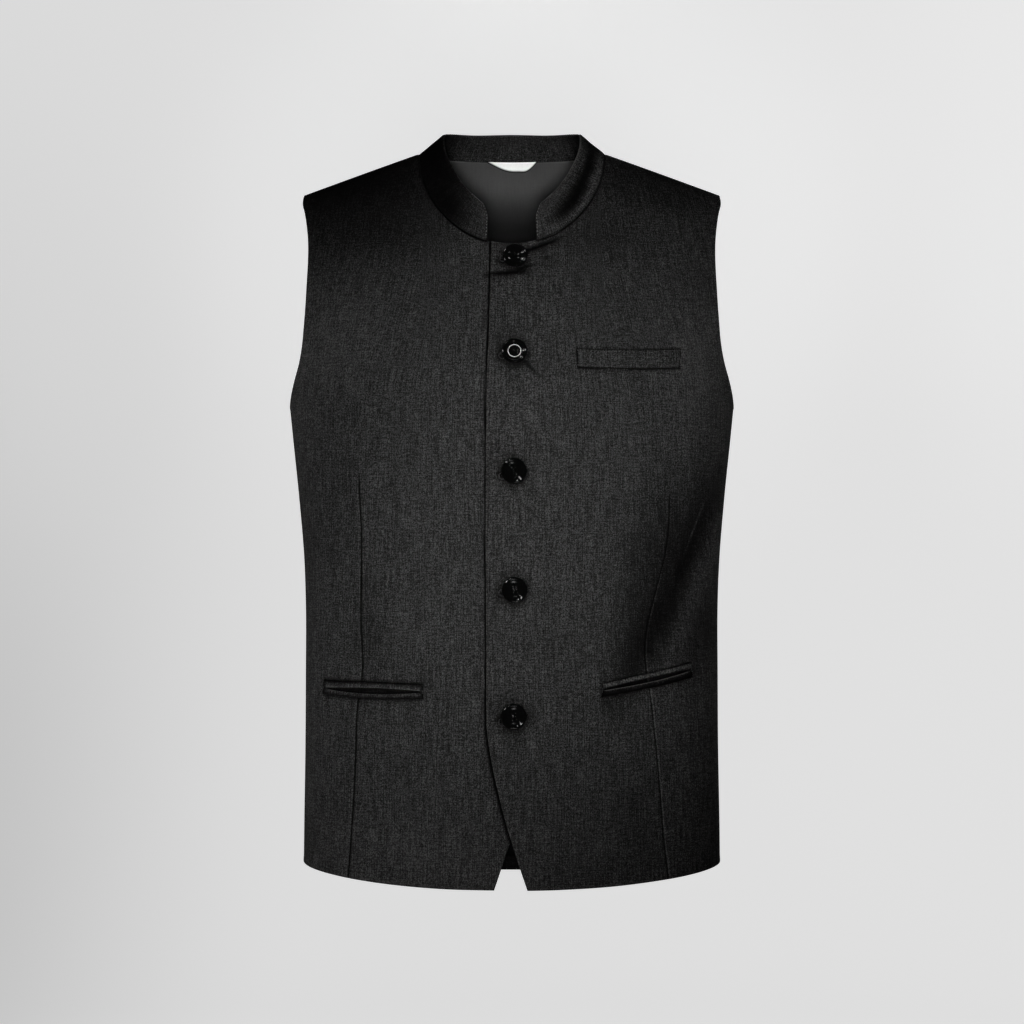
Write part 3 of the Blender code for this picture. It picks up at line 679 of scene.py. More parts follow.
collar = {
    "wall": 0.0024,
    "edge": 0.0011,
    "halfLength": 0.215,
    "height": 0.031,
    "step": 0.0020,
    "lengthMarks": ((0.215, 0.0003, 0.0040),),
    "heightMarks": ((0, 0.0002, 0.0012), (0.031, 0.0002, 0.0012)),
    "rows": (  # share from centre back to the front end, height, lean in degrees
        (0.00, 0.0290, 36.0),
        (0.25, 0.0290, 44.0),
        (0.45, 0.0290, 50.0),
        (0.65, 0.0300, 38.0),
        (0.82, 0.0320, 22.0),
        (1.00, 0.0330, 12.0),
    ),
    # share to the wearer's left, its spread, share of the height, its spread, rise, painted shade
    "folds": (
        (-0.58, 0.24, 0.55, 1.00, -0.0010, 4.6),
        (-0.80, 0.08, 0.25, 0.30, -0.0005, 2.6),
        (0.65, 0.17, 0.53, 0.17, -0.0009, 3.8),
        (0.80, 0.10, 0.40, 0.15, -0.0006, 3.4),
        (0.62, 0.20, 0.20, 0.12, 0.0005, -0.7),
        (0.36, 0.14, 0.60, 0.60, -0.0004, 1.6),
    ),
    "end": 0.0227,
    "corner": 0.0140,
    "slant": 0.28,
    "slantLength": 0.25,
    "sunk": 0.0014,
    "wave": 0.0005,
    "waveTurns": 23,
    "waveStart": 0.6,
    "swell": 0.0006,
    "lip": 3.0,  # a painted highlight: how much paler the fold of the top edge is, in stops
    "lipWidth": 0.0007,
    # painted shade in stops: along the foot, on the inner face near the shoulders, and all over the
    # inner face
    "footDark": 4.0,
    "footWidth": 0.0015,
    "innerDark": 2.4,
    "innerStart": (0.20, 0.38),
    "innerShade": 0.3,
}
collarShares, collarHeights, collarLeans = np.array(collar["rows"]).T


def neckSeamTable():
    # points down the neck edge from the centre back to the collar's front end, and their length
    spread = np.linspace(0, 1, 900)
    last = math.asin(collar["end"] / outline["neckHalfBreadth"])
    runs = []
    for side, turn in ((1, math.pi / 2 * (1 - (1 - spread) ** 2)),
                       (-1, math.pi / 2 + (last - math.pi / 2) * spread**2)):
        x, z = neckEdge(turn, side)
        runs.append(onTorso(alongAt(x, z), z, side)[0])
    points = np.concatenate(runs)
    return points, pathLengths(points)


neckPoints, neckLengths = neckSeamTable()


# dark is painted shade along the ditch, in stops
neckDitch = {"place": 0.0013, "width": 0.0008, "depth": 0.0012, "dark": 3.6, "reach": 0.13}


def neckDistance(points):
    # the least distance to the left half of the neck seam, for the points within reach of it
    near = (np.abs(points[..., 0]) < neckDitch["reach"]) & (points[..., 2] > -neckDitch["reach"])
    gap = points[near][:, None] - neckPoints[None, ::5]
    distance = np.full(points.shape[:-1], 1.0)
    distance[near] = np.sqrt((gap**2).sum(-1).min(axis=1))
    return distance


def neckDetail(points):
    # the ditch along the collar's foot and its dark line of painted shade
    off = neckDistance(points) - neckDitch["place"]
    relief = seamDitch(off, neckDitch["depth"], neckDitch["width"])
    return relief, -neckDitch["dark"] * bell(off, neckDitch["width"])


fronts = {
    "wall": 0.0020,
    "edge": 0.0009,
    "width": 0.280,
    "dartPlace": 0.160,
    "height": 0.680,
    "columnMarks": ((0, 0.0002, 0.0012), (0.022, 0.0014, 0.026), (0.079, 0.0009, 0.006),
                    (0.160, 0.00035, 0.0030), (0.200, 0.0011, 0.012), (0.280, 0.0002, 0.0012)),
    "lapMark": (0.0456, 0.0005, 0.0035),
    "rowMarks": ((0, 0.0002, 0.0012), (0.200, 0.0010, 0.018), (0.4624, 0.0030, 0.010),
                 (0.505, 0.0009, 0.030), (0.655, 0.0015, 0.022), (0.680, 0.0002, 0.0012)),
    "step": 0.0032,
    "leftDart": (  # height, breadth
        (-0.690, 0.1432), (-0.6675, 0.1417), (-0.6329, 0.1385), (-0.5839, 0.1343),
        (-0.5421, 0.1293), (-0.4986, 0.1242), (-0.4822, 0.1219), (-0.4397, 0.1233),
        (-0.4189, 0.1279), (-0.3954, 0.1336), (-0.3780, 0.1378), (-0.3619, 0.1400),
        (-0.3298, 0.1418), (-0.2600, 0.1380), (-0.1500, 0.1180), (-0.0600, 0.0960),
        (-0.0019, 0.0855), (0.0100, 0.0840),
    ),
    "rightDart": (
        (-0.690, 0.1495), (-0.6671, 0.1478), (-0.6200, 0.1448), (-0.5735, 0.1419),
        (-0.5063, 0.1387), (-0.4890, 0.1362), (-0.4345, 0.1371), (-0.3900, 0.1358),
        (-0.3583, 0.1355), (-0.3176, 0.1374), (-0.2500, 0.1350), (-0.1500, 0.1180),
        (-0.0600, 0.0960), (-0.0019, 0.0855), (0.0100, 0.0840),
    ),
    "leftDartSeam": {"top": -0.318, "fade": 0.012, "depth": 0.0003, "width": 0.0007,
                     "puff": 0.0001, "dark": 4.2, "pale": 1.8, "paleTop": -0.415},
    "rightDartSeam": {"top": -0.302, "fade": 0.012, "depth": 0.0003, "width": 0.0008,
                      "puff": 0.0001, "dark": 4.6, "pale": 0.8, "paleTop": 0},
    # the shade column is painted shade, and a painted highlight when below 0
    "folds": (  # from (x, z) to (x, z), width, rise, skew, shade
        (0.202, -0.280, 0.122, -0.485, 0.015, -0.0060, 0.5, 2.70),
        (0.150, -0.400, 0.080, -0.535, 0.015, -0.0025, 0.0, 1.80),
        (0.182, -0.320, 0.157, -0.385, 0.0009, 0.0004, 0.0, -2.4),  # a sharp pale crease in it
        (0.200, -0.390, 0.150, -0.510, 0.016, -0.0020, 0.0, 1.00),
        (0.146, -0.285, 0.092, -0.500, 0.021, 0.0020, 0.0, 1.00),
        (0.112, -0.540, 0.128, -0.700, 0.026, -0.0040, 0.0, 0.35),
        (-0.150, -0.250, -0.165, -0.420, 0.022, -0.0025, 0.2, 0.35),
        (-0.132, -0.380, -0.128, -0.515, 0.016, -0.0020, 0.0, 0.60),
        (-0.100, -0.550, -0.120, -0.670, 0.026, -0.0025, 0.0, 0.0),
        (-0.030, -0.1222, 0.0200, -0.1196, 0.0022, -0.0014, 0.4, 4.6),  # under the top button
        (0.002, -0.1190, 0.0230, -0.1130, 0.0016, -0.0006, 0.0, 3.5),
        (-0.008, -0.1168, 0.0200, -0.1140, 0.0010, 0.0005, 0.0, -1.3),
        (-0.026, -0.1290, 0.0300, -0.1230, 0.0060, 0.0008, 0.0, 0.0),
        (0.002, -0.1040, 0.0500, -0.0852, 0.0021, -0.0018, 0.3, 5.0),  # from it to the collar
        (0.004, -0.0962, 0.0500, -0.0862, 0.0016, 0.0009, 0.0, -0.9),
        (0.012, -0.1100, 0.0560, -0.1130, 0.0060, -0.0006, 0.0, 0.3),
        (0.006, -0.1970, 0.0240, -0.2160, 0.0013, -0.0010, 0.0, 4.0),  # right of the second
        (-0.012, -0.2100, 0.0150, -0.2080, 0.0040, -0.0006, 0.0, 0.4),
        (-0.014, -0.3150, 0.0120, -0.3130, 0.0050, -0.0006, 0.0, 0.2),
        (-0.014, -0.4220, 0.0130, -0.4200, 0.0050, -0.0006, 0.0, 0.2),
        (-0.012, -0.5360, 0.0130, -0.5340, 0.0050, -0.0006, 0.0, 0.2),
        (0.1905, -0.150, 0.1650, -0.300, 0.016, -0.0012, 0.0, 0.0),  # off the armholes
        (-0.1905, -0.170, -0.1650, -0.310, 0.018, -0.0014, 0.0, 0.0),
        # the next four rows paint shade over the shoulders and the top of the chest
        (-0.300, -0.026, -0.010, -0.026, 0.044, -0.0010, 0.0, 3.1),  # over the right shoulder
        (-0.220, -0.083, -0.030, -0.083, 0.022, -0.0008, 0.0, 0.9),
        (0.000, -0.080, 0.150, -0.088, 0.022, -0.0004, 0.0, 0.7),
        (0.010, -0.018, 0.230, -0.050, 0.026, -0.0006, 0.0, 1.3),  # over the left shoulder
    ),
    "sidePaintedLight": (  # painted light: the sides are paler where they turn away from the lamps
        (-0.204, -0.080, -0.208, -0.340, 0.026, 0, 0, -0.6),
        (-0.202, -0.440, -0.202, -0.760, 0.028, 0, 0, -0.4),
        (-0.165, -0.110, -0.165, -0.245, 0.042, 0, 0, -0.65),
        (0.168, -0.120, 0.160, -0.290, 0.036, 0, 0, -0.65),
        (-0.210, -0.660, 0.050, -0.660, 0.046, 0, 0, -0.50),
    ),
    "cloud": (0.16, 0.0006),
    "gape": 0.0010,  # how far the left front's edge stands off between the buttons
    "gapeWidth": 0.016,
    "gapeStart": (0.012, 0.045),
    "gapeFoot": (-0.60, -0.50),
    "underCut": 0.0020,  # how much more of the lower front is cut away
    "underCutHeights": (-0.655, -0.600),
    "underCutReach": 0.09,
}
buttonPlaces = ((0.0032, -0.1058), (0.0024, -0.1944), (0.0020, -0.3005),
                (0.0025, -0.4071), (0.0016, -0.5212))

jet = {"wall": 0.0015, "edge": 0.0007, "seat": 0.0008, "crown": 0.0012}
# corners as (breadth, height): top near, top far, low near, low far; then the sag of top and foot
# dark is painted shade along the sewn edges; lip is a painted highlight along a mouth, painted
# shade when below 0; in stops
strips = {
    "breastWelt": {
        **jet, "hand": 1, "node": "breast_welt", "wall": 0.0016, "seat": 0.0010, "crown": 0.0007,
        "corners": ((0.0581, -0.1911), (0.1527, -0.1896), (0.0585, -0.2080), (0.1508, -0.2075)),
        "sag": (0.0012, 0.0012), "shows": (0.0960, 0.0180), "shownArea": 0.00168,
        "mouth": None, "dark": 4.6, "darkWidth": 0.0007, "ditch": 0.0010,
    },
    "leftPocketUpperJet": {
        **jet, "hand": 1, "node": "left_pocket_upper_jet",
        "corners": ((0.0808, -0.4923), (0.1630, -0.4755), (0.0810, -0.4970), (0.1632, -0.4806)),
        "sag": (0.0002, -0.0014), "shows": (0.0850, 0.0100), "shownArea": 0.00043, "pale": 0.7,
        "mouth": "low", "dark": 3.4, "darkWidth": 0.0006, "ditch": 0.0011, "lip": -3.0,
    },
    "leftPocketLowerJet": {
        **jet, "hand": 1, "node": "left_pocket_lower_jet",
        "corners": ((0.0812, -0.4986), (0.1636, -0.4824), (0.0803, -0.5040), (0.1649, -0.4884)),
        "sag": (0.0016, 0.0006), "shows": (0.0860, 0.0100), "shownArea": 0.00050,
        "mouth": "top", "dark": 5.0, "darkWidth": 0.0038, "ditch": 0.0011, "lip": 4.0,
    },
    "rightPocketUpperJet": {
        **jet, "hand": -1, "node": "right_pocket_upper_jet",
        "corners": ((0.0796, -0.4928), (0.1713, -0.4918), (0.0797, -0.4986), (0.1713, -0.4981)),
        "sag": (-0.0004, -0.0022), "shows": (0.0935, 0.0100), "shownArea": 0.00066,
        "mouth": "low", "dark": 3.6, "darkWidth": 0.0019, "ditch": 0.0017, "lip": 1.6,
    },
    "rightPocketLowerJet": {
        **jet, "hand": -1, "node": "right_pocket_lower_jet",
        "corners": ((0.0797, -0.5001), (0.1713, -0.4995), (0.0794, -0.5053), (0.1723, -0.5040)),
        "sag": (0.0030, 0.0012), "shows": (0.0940, 0.0100), "shownArea": 0.00052,
        "mouth": "top", "dark": 3.6, "darkWidth": 0.0019, "ditch": 0.0017, "lip": 1.6,
    },
}
# dark and mouthDark are painted shade in the ditch and the mouth, in stops
pocketRelief = {
    "ditchDepth": 0.0014,
    "dark": 3.4,
    "endFade": 0.012,
    "endWidth": 0.0007,
    "past": 0.001,
    "mouthDepth": 0.0030,
    "mouthDark": 3,
    "mouthSpare": 0.0012,
    "mouthFade": 0.05,
}
closing = {
    # painted shadows at each button of the left front (1) and the right (-1): dark, place as
    # metres to the wearer's right and down, radius and power
    "spots": {
        1: ((2.2, 0, 0.0016, 0.0128, 6), (2.4, 0.0125, 0.0035, 0.0032, 2),
            (0.9, 0.004, -0.004, 0.0155, 2)),
        -1: ((3.0, 0.0125, 0.0035, 0.0032, 2),),
    },
    "lineDark": 6.0,  # a painted shadow line along the left front's edge
    "linePlace": 0.0004,
    "lineWidth": 0.0009,
    "lineWiden": 0.0007,
    "lineWidens": (-0.60, -0.48),
    "lineFoot": (-0.67, -0.64),
    # a soft painted shade beside that line
    "halo": 0.06,
    "haloWidth": 0.0045,
}
seams = {"sideFade": 0.09, "shoulderFade": 0.020, "cross": 0.0008}
clouds = {"flatten": 0.6, "size": 0.7, "growth": 0.3, "bend": 3}


def cloudLift(x, z, seed, size, rise):
    # sum of three slow sine waves turned about the height, so no stretch of cloth is quite smooth
    turns = np.random.default_rng(seed).uniform(0, 2 * math.pi, (3, 3))
    lift = np.zeros_like(x)
    for k, (angle, phase, bend) in enumerate(turns):
        along = x * math.cos(angle) + z * math.sin(angle) * clouds["flatten"]
        length = size * (clouds["size"] + clouds["growth"] * k)
        lift += np.sin(along * 2 * math.pi / length + phase + bend * z * clouds["bend"])
    return rise * lift / 3


def seamFade(x, z):
    # 0 on the side and shoulder seams, 1 away from them, so that two panels meet there
    side = softStep(0, seams["sideFade"], 1 - np.abs(alongAt(x, z)))
    return side * softStep(0, seams["shoulderFade"], shoulderLine(x) - z)


def crossed(points, side):
    # both panels reach past y = 0 by a bell of their distance to it
    slid = points.copy()
    slid[..., 1] -= side * seams["cross"] * bell(points[..., 1], 2 * seams["cross"])
    return slid


def frontLie(x, z, hand):
    # x grows to this front's own side; soft folds, clouding and the shift where the fronts lap
    lift = foldRise(hand * x, z, fronts["folds"])[0]
    lift = lift + cloudLift(x, z, 5 + hand, *fronts["cloud"])
    lift = lift * seamFade(x, z)
    return lift + hand * outline["lapShift"] * (1 - softStep(*outline["lapFade"], x))


def stripEdges(strip, x):
    # heights of a strip's top and foot at a breadth, and the share of its length there
    (ax, az), (bx, bz), (cx, cz), (dx, dz) = strip["corners"]
    share = (x - (ax + cx) / 2) / ((bx + dx) / 2 - (ax + cx) / 2)
    bow = 4 * share * (1 - share)
    top = az + (bz - az) * share - strip["sag"][0] * bow
    low = cz + (dz - cz) * share - strip["sag"][1] * bow
    return top, low, share


def pocketDitch(x, z, upper, lower):
    # a ditch round the strips, and the mouth let in between them as e to the minus height^4
    relief = pocketRelief
    top, upperFoot, share = stripEdges(upper, x)
    lowerTop, low, _ = stripEdges(lower, x)
    length = upper["corners"][1][0] - upper["corners"][0][0]
    fade, past = relief["endFade"], relief["past"]
    within = softStep(-fade, 0, share) * (1 - softStep(1, 1 + fade, share))
    ends = np.minimum(np.abs(share), np.abs(share - 1)) * length
    beside = (z < top + past) & (z > low - past)
    width, depth = upper["ditch"], relief["ditchDepth"]
    lift = within * seamDitch(np.minimum(np.abs(z - top), np.abs(z - low)), depth, width)
    lift = np.minimum(lift, np.where(beside, seamDitch(ends, depth, relief["endWidth"]), 0))
    # painted shade in the ditch, and further down in the mouth
    paintedShading = relief["dark"] * lift / depth
    if upper is not lower:
        middle, fade = (upperFoot + lowerTop) / 2, relief["mouthFade"]
        wide = np.abs(upperFoot - lowerTop) / 2 + relief["mouthSpare"]
        mouth = softStep(0, fade, share) * (1 - softStep(1 - fade, 1, share))
        mouth = mouth * np.exp(-(((z - middle) / wide) ** 4))
        lift = lift - relief["mouthDepth"] * mouth
        paintedShading = paintedShading - relief["mouthDark"] * mouth
    return lift, paintedShading


def closingShade(x, z, hand):
    # painted shadow spots at the buttons, each e to the minus (distance / radius) to a power;
    # on the right front also a painted shadow line along the other's edge, e to the minus (distance
    # / width)^4, and its halo
    places = np.array(buttonPlaces)
    across, up = hand * x[..., None] - places[:, 0], z[..., None] - places[:, 1]
    shade = np.zeros_like(x)
    for dark, aside, down, radius, power in closing["spots"][hand]:
        off = np.hypot(across + aside, up + down)
        shade -= dark * np.exp(-((off / radius) ** power)).sum(axis=-1)
    if hand > 0:
        return shade
    past = x - frontEdge(z) - closing["linePlace"]
    wide = closing["lineWidth"] + closing["lineWiden"] * (1 - softStep(*closing["lineWidens"], z))
    line = np.exp(-((past / wide) ** 4)) * softStep(*closing["lineFoot"], z)
    return shade - closing["lineDark"] * (line + bell(past, closing["haloWidth"]) * closing["halo"])


def frontDetail(x, z, hand):
    # the relief of a front's dart, pockets, neck and edge, and the painted light and shade that go
    # with it
    own = "left" if hand > 0 else "right"
    details = [
        dartRise(x, z, np.array(fronts[own + "Dart"]), fronts[own + "DartSeam"]),
        pocketDitch(x, z, strips[own + "PocketUpperJet"], strips[own + "PocketLowerJet"]),
        neckDetail(onTorso(alongAt(x, z), z, -1)[0]),
        (0, closingShade(x, z, hand)),
        (0, foldRise(hand * x, z, fronts["folds"] + fronts["sidePaintedLight"])[1]),
    ]
    if hand > 0:
        details.append(pocketDitch(x, z, strips["breastWelt"], strips["breastWelt"]))
        heights = np.array([height for _, height in buttonPlaces])
        nearest = np.min(np.abs(z[..., None] - heights), axis=-1)
        edge = bell(x + frontEdge(z), fronts["gapeWidth"])
        edge = edge * softStep(*fronts["gapeStart"], nearest)
        details.append((fronts["gape"] * edge * softStep(*fronts["gapeFoot"], z), 0))
    return [sum(parts) for parts in zip(*details)]


def onFront(x, z, hand, lift=0.0):
    # a point on a front's middle, moved out by lift; the right front is the mirror of its own side
    points, normals = onTorso(alongAt(x, z), z, -1)
    points = crossed(points + normals * (frontLie(x, z, hand) + lift)[..., None], -1)
    mirror = np.array([hand, 1, 1])
    return points * mirror, normals * mirror


def makeFront(name, hand, node):
    # a grid of breadth and height with a column down the dart, laid on the form with its relief
    marks = fronts["columnMarks"] + ((fronts["lapMark"],) if hand < 0 else ())
    dart = np.array(fronts["leftDart" if hand > 0 else "rightDart"])
    along, height = panelPlaces(fronts, -1, dart, marks)
    breadth = breadthAt(along, height)
    if hand < 0:  # the front that lies under is cut away a little more
        foot = 1 - softStep(*fronts["underCutHeights"], height)
        foot = foot * (1 - softStep(0, fronts["underCutReach"], breadth))
        breadth = breadth + fronts["underCut"] * foot
    lift, paintedShading = frontDetail(breadth, height, hand)
    middle, outward = onFront(breadth, height, hand, lift)
    uv = clothUv(middle, middle[..., 0], height)
    return clothPiece(name, node, "suiting", fronts, middle, outward, uv, paintedShading)


leftFront = makeFront("leftFront", 1, "front_left")
makeFront("rightFront", -1, "front_right")

back = {
    "wall": 0.0020,
    "edge": 0.0009,
    "width": 0.270,
    "dartPlace": 0.112,
    "height": 0.690,
    "step": 0.0036,
    "columnMarks": ((0.112, 0.00045, 0.0030), (0.270, 0.0002, 0.0012)),
    "rowMarks": ((0, 0.0002, 0.0012), (0.4692, 0.0036, 0.010), (0.690, 0.0002, 0.0012)),
    "dart": ((-0.700, 0.1020), (-0.600, 0.1000), (-0.450, 0.0930), (-0.350, 0.0960),
             (-0.220, 0.1060), (-0.120, 0.1020), (-0.0019, 0.0855), (0.0100, 0.0840)),
    "dartSeam": {"top": -0.215, "foot": -0.600, "fade": 0.030, "depth": 0.0012,
                 "width": 0.0009, "puff": 0.0003, "dark": 1.6, "pale": 0.9,
                 "paleTop": 0},
    # from (x, z) to (x, z), width, rise, skew, painted shade
    "folds": (
        (-0.120, -0.300, -0.075, -0.470, 0.024, -0.0040, 0.0, 0.4),
        (0.125, -0.290, 0.070, -0.450, 0.022, -0.0035, 0.0, 0.4),
        (-0.060, -0.520, -0.075, -0.680, 0.028, -0.0035, 0.0, 0.3),
        (0.085, -0.540, 0.095, -0.680, 0.026, -0.0030, 0.0, 0.3),
        (-0.060, -0.390, 0.055, -0.372, 0.012, -0.0016, 0.3, 0.3),
        (-0.045, -0.418, 0.070, -0.430, 0.010, -0.0011, 0.0, 0.2),
        (-0.185, -0.160, -0.130, -0.300, 0.016, -0.0014, 0.2, 0.2),
        (0.188, -0.170, 0.140, -0.290, 0.016, -0.0013, 0.0, 0.2),
        (-0.050, -0.020, 0.045, -0.016, 0.008, -0.0008, 0.0, 0.2),
    ),
    "cloud": (9, 0.18, 0.0007),
    "gap": 0,  # how far it lies inside the back's own middle
    "rise": 0,  # how far its neck edge reaches above the back's
    "riseHeights": (-0.030, -0.002),
    "riseBreadths": (0.060, 0.084),
    # painted shade on the inner face towards the hem
    "innerDark": 2.6,
    "innerHeights": (0.590, 0.655),
}


def backRelief(x, z):
    # folds and clouding, faded at the seams, with the two darts; and the painted light and shade of
    # folds and darts
    rise, foldPaintedShading = foldRise(x, z, back["folds"])
    dart, dartPaintedShading = dartRise(np.abs(x), z, np.array(back["dart"]), back["dartSeam"])
    lift = (rise + cloudLift(x, z, *back["cloud"])) * seamFade(x, z)
    return lift + dart, dartPaintedShading + foldPaintedShading


def backMiddle(spec):
    # the whole back from its left half and that half's mirror, with their own folds
    along, height = panelPlaces(spec, 1, np.array(spec["dart"]), spec["columnMarks"])
    inside = 1 - softStep(*spec["riseBreadths"], breadthAt(along, height))
    height = height + spec["rise"] * softStep(*spec["riseHeights"], height) * inside
    halves = []
    for hand in (-1, 1):
        points, normals = onTorso(along, height, 1)
        mirror = np.array([hand, 1, 1])
        points, normals = points * mirror, normals * mirror
        lift = backRelief(points[..., 0], height)[0] - spec["gap"]
        points = crossed(points + normals * lift[..., None], 1)
        halves.append((points, normals) if hand > 0 else (points[:, :0:-1], normals[:, :0:-1]))
    return [np.concatenate(pair, axis=1) for pair in zip(*halves)]


def makeBack():
    # the back's middle with its painted shade, darker inside towards the hem
    middle, outward = backMiddle(back)
    x, z = middle[..., 0], middle[..., 2]
    paintedShading = backRelief(x, z)[1]
    paintedShading = paintedShading + neckDetail(np.stack([np.abs(x), middle[..., 1], z], axis=-1))[1]
    innerPaintedShading = -back["innerDark"] * softStep(*back["innerHeights"], -z)
    clothPiece("backPanel", "back", "suiting", back, middle, outward, clothUv(middle, x, z), paintedShading,
               innerPaintedShading)


makeBack()

lining = {
    **back,
    "wall": 0.0008,
    "edge": 0.0004,
    "step": 0.0060,
    "columnMarks": ((0.112, 0.0060, 0.0030), (0.270, 0.0012, 0.0030)),
    "rowMarks": ((0, 0.0012, 0.0030), (0.4692, 0.0060, 0.010), (0.690, 0.0012, 0.0030)),
    "gap": 0.0022,
    "rise": 0.0006,
    "footRows": 4,  # rows and columns left off, so that it ends inside the back
    "sideColumns": 3,
    # painted light in stops over the whole lining, before the shades
    "tone": 0.9,
    "shades": (  # stops of painted light and shade, from one depth below the neck point to another
        (-2.4, 0.022, 0.060), (1.3, 0.058, 0.075), (-2.5, 0.080, 0.130), (-3.0, 0.50, 0.62),
    ),
}


def makeLining():
    # the back's own middle let in by the gap; its painted light and shade changes by a soft step
    # for each shade
    middle, outward = backMiddle(lining)
    x, z = middle[..., 0], middle[..., 2]
    paintedShading = lining["tone"] + 0 * z
    for stops, start, end in lining["shades"]:
        paintedShading = paintedShading + stops * softStep(start, end, -z)
    kept = np.s_[lining["footRows"]:, lining["sideColumns"]:-lining["sideColumns"]]
    parts = [grid[kept] for grid in (middle, outward, clothUv(middle, x, z), paintedShading, paintedShading)]
    clothPiece("backLining", "back_lining", "lining", lining, *parts)


makeLining()
print("panels made")


def neckSeam(shares):
    # the point at a share of the seam's length
    return placeAlong(neckPoints, neckLengths, np.clip(shares, 0, 1) * neckLengths[-1])


def collarFrame(shares):
    # the seam, the way the band rises (up, leaning in and slanting at its end), and its normal
    step = 0.01
    tangent = neckSeam(shares + step) - neckSeam(shares - step)
    tangent = np.where((shares < step / 10)[:, None], (1.0, 0, 0), tangent)
    tangent /= np.linalg.norm(tangent, axis=1, keepdims=True)
    up = np.array([0, 0, 1.0]) - tangent[:, 2:] * tangent
    up /= np.linalg.norm(up, axis=1, keepdims=True)
    out = np.cross(tangent, up)
    out *= np.sign((out * neckSeam(shares))[:, :2].sum())
    lean = np.radians(curveThrough(collarShares, collarLeans, shares))[:, None]
    slant = collar["slant"] * softStep(1 - collar["slantLength"], 1, shares)[:, None]
    rise = up * np.cos(lean) - out * np.sin(lean) - slant * tangent
    return neckSeam(shares), rise, out * np.cos(lean) + up * np.sin(lean)


def collarHeight(shares):
    # the band's height, less what its rounded front corner takes away
    corner = collar["corner"]
    into = np.clip(corner - (1 - shares) * neckLengths[-1], 0, corner)
    return curveThrough(collarShares, collarHeights, shares) - corner + np.sqrt(corner**2 - into**2)


def collarPlace(shares, up):
    # a place on the left half of the band: shares down the seam, and metres up from it; a sine
    # wave runs along its top, and its middle swells as a half wave
    seam, rise, normal = collarFrame(shares)
    high = np.clip(up / collar["height"], 0, 1)
    wave = collar["wave"] * np.sin(shares * collar["waveTurns"] + collar["waveStart"]) * high
    swell = collar["swell"] * np.sin(math.pi * high)
    return seam + up[:, None] * rise + (wave + swell)[:, None] * normal, normal


def collarFolds(share, upShare):
    # soft troughs run along the band: each is a bell in its length and a bell in its height,
    # darkened by its painted shade
    rises, shades = np.zeros_like(upShare), np.zeros_like(upShare)
    for place, spread, height, tall, rise, shade in collar["folds"]:
        trough = bell(share - place, spread) * bell(upShare - height, tall)
        rises, shades = rises + rise * trough, shades - shade * trough
    return rises, shades


def makeCollar():
    # the left half from its seam up, and its mirror, with the folds of both
    shares = gradedPlaces(collar["halfLength"], collar["step"], collar["lengthMarks"])
    ups = gradedPlaces(collar["height"], collar["step"], collar["heightMarks"])
    height = collarHeight(shares)
    rows = [collarPlace(shares, -collar["sunk"] + up * (height + collar["sunk"])) for up in ups]
    half, normal = (np.array(part) for part in zip(*rows))
    mirror = np.array([-1, 1, 1])
    middle = np.concatenate([(half * mirror)[:, :0:-1], half], axis=1)
    outward = np.concatenate([(normal * mirror)[:, :0:-1], normal], axis=1)
    up = lengthsAlong(middle, 0)
    uv = np.stack([lengthsAlong(middle, 1)[:1] + 0 * up, up], axis=-1)
    alongBand = np.append(-shares[:0:-1], shares)
    rise, shade = collarFolds(alongBand, up / up[-1:])
    middle = middle + outward * rise[..., None]
    # painted shade in the folds and along the foot, a painted highlight along the top edge's fold,
    # and painted shade on the inner face
    paintedShading = shade - collar["footDark"] * bell(up, collar["footWidth"])
    paintedShading = paintedShading + collar["lip"] * bell(up[-1:] - up, collar["lipWidth"])
    innerPaintedShading = -collar["innerDark"] * softStep(*collar["innerStart"], np.abs(alongBand)) + 0 * up
    innerPaintedShading = innerPaintedShading - collar["innerShade"]
    clothPiece("collarBand", "collar", "suiting", collar, middle, outward, uv, paintedShading, innerPaintedShading)


makeCollar()

label = {
    "wall": 0.0006,
    "edge": 0.0003,
    "halfLength": 0.0250,
    "height": 0.0086,
    "drop": -0.0022,
    "lift": 0.0040,
    "footLift": 0.0012,
    # a painted shadow line along the foot
    "edgeDark": 9.0,
    "edgeWidth": 0.0011,
    "grid": (90, 24),
    "foot": (  # place across, share of the height that the foot hangs to
        (-1.00, 0.04), (-0.69, 0.42), (-0.38, 0.76), (-0.10, 0.95), (0.27, 1.00), (0.60, 0.95),
        (0.84, 0.50), (1.00, 0.04),
    ),
}


def makeLabel():
    # across by down the tape; it stands off the lining most at its foot
    places, depths = np.array(label["foot"]).T
    columns, rows = label["grid"]
    across, down = np.meshgrid(np.linspace(-1, 1, columns), np.linspace(0, 1, rows))
    depth = curveThrough(places, depths, across) * label["height"]
    z = outline["backNeckHeight"] - label["drop"] - depth * down
    x = across * label["halfLength"]
    points, normals = onTorso(alongAt(x, z), z, 1)
    off = label["lift"] + label["footLift"] * down * (1 - across**2)
    middle = points + normals * (backRelief(x, z)[0] - off)[..., None]
    # darker along the foot: a painted shadow line
    paintedShading = -label["edgeDark"] * bell((1 - down) * depth, label["edgeWidth"])
    clothPiece("neckLabel", "neck_label", "label", label, middle, normals,
               np.stack([x, z], axis=-1), paintedShading, paintedShading)


makeLabel()

stripShape = {
    "step": 0.0016,
    "fine": 0.0002,
    "fineSpread": 0.0008,
    "rows": 24,
    "leastRow": 0.0005,
    "crownPower": 0.7,
    "cloud": (3, 0.03, 0.0002),
    "lipPlace": 0.0003,
    "lipWidth": 0.0006,
}


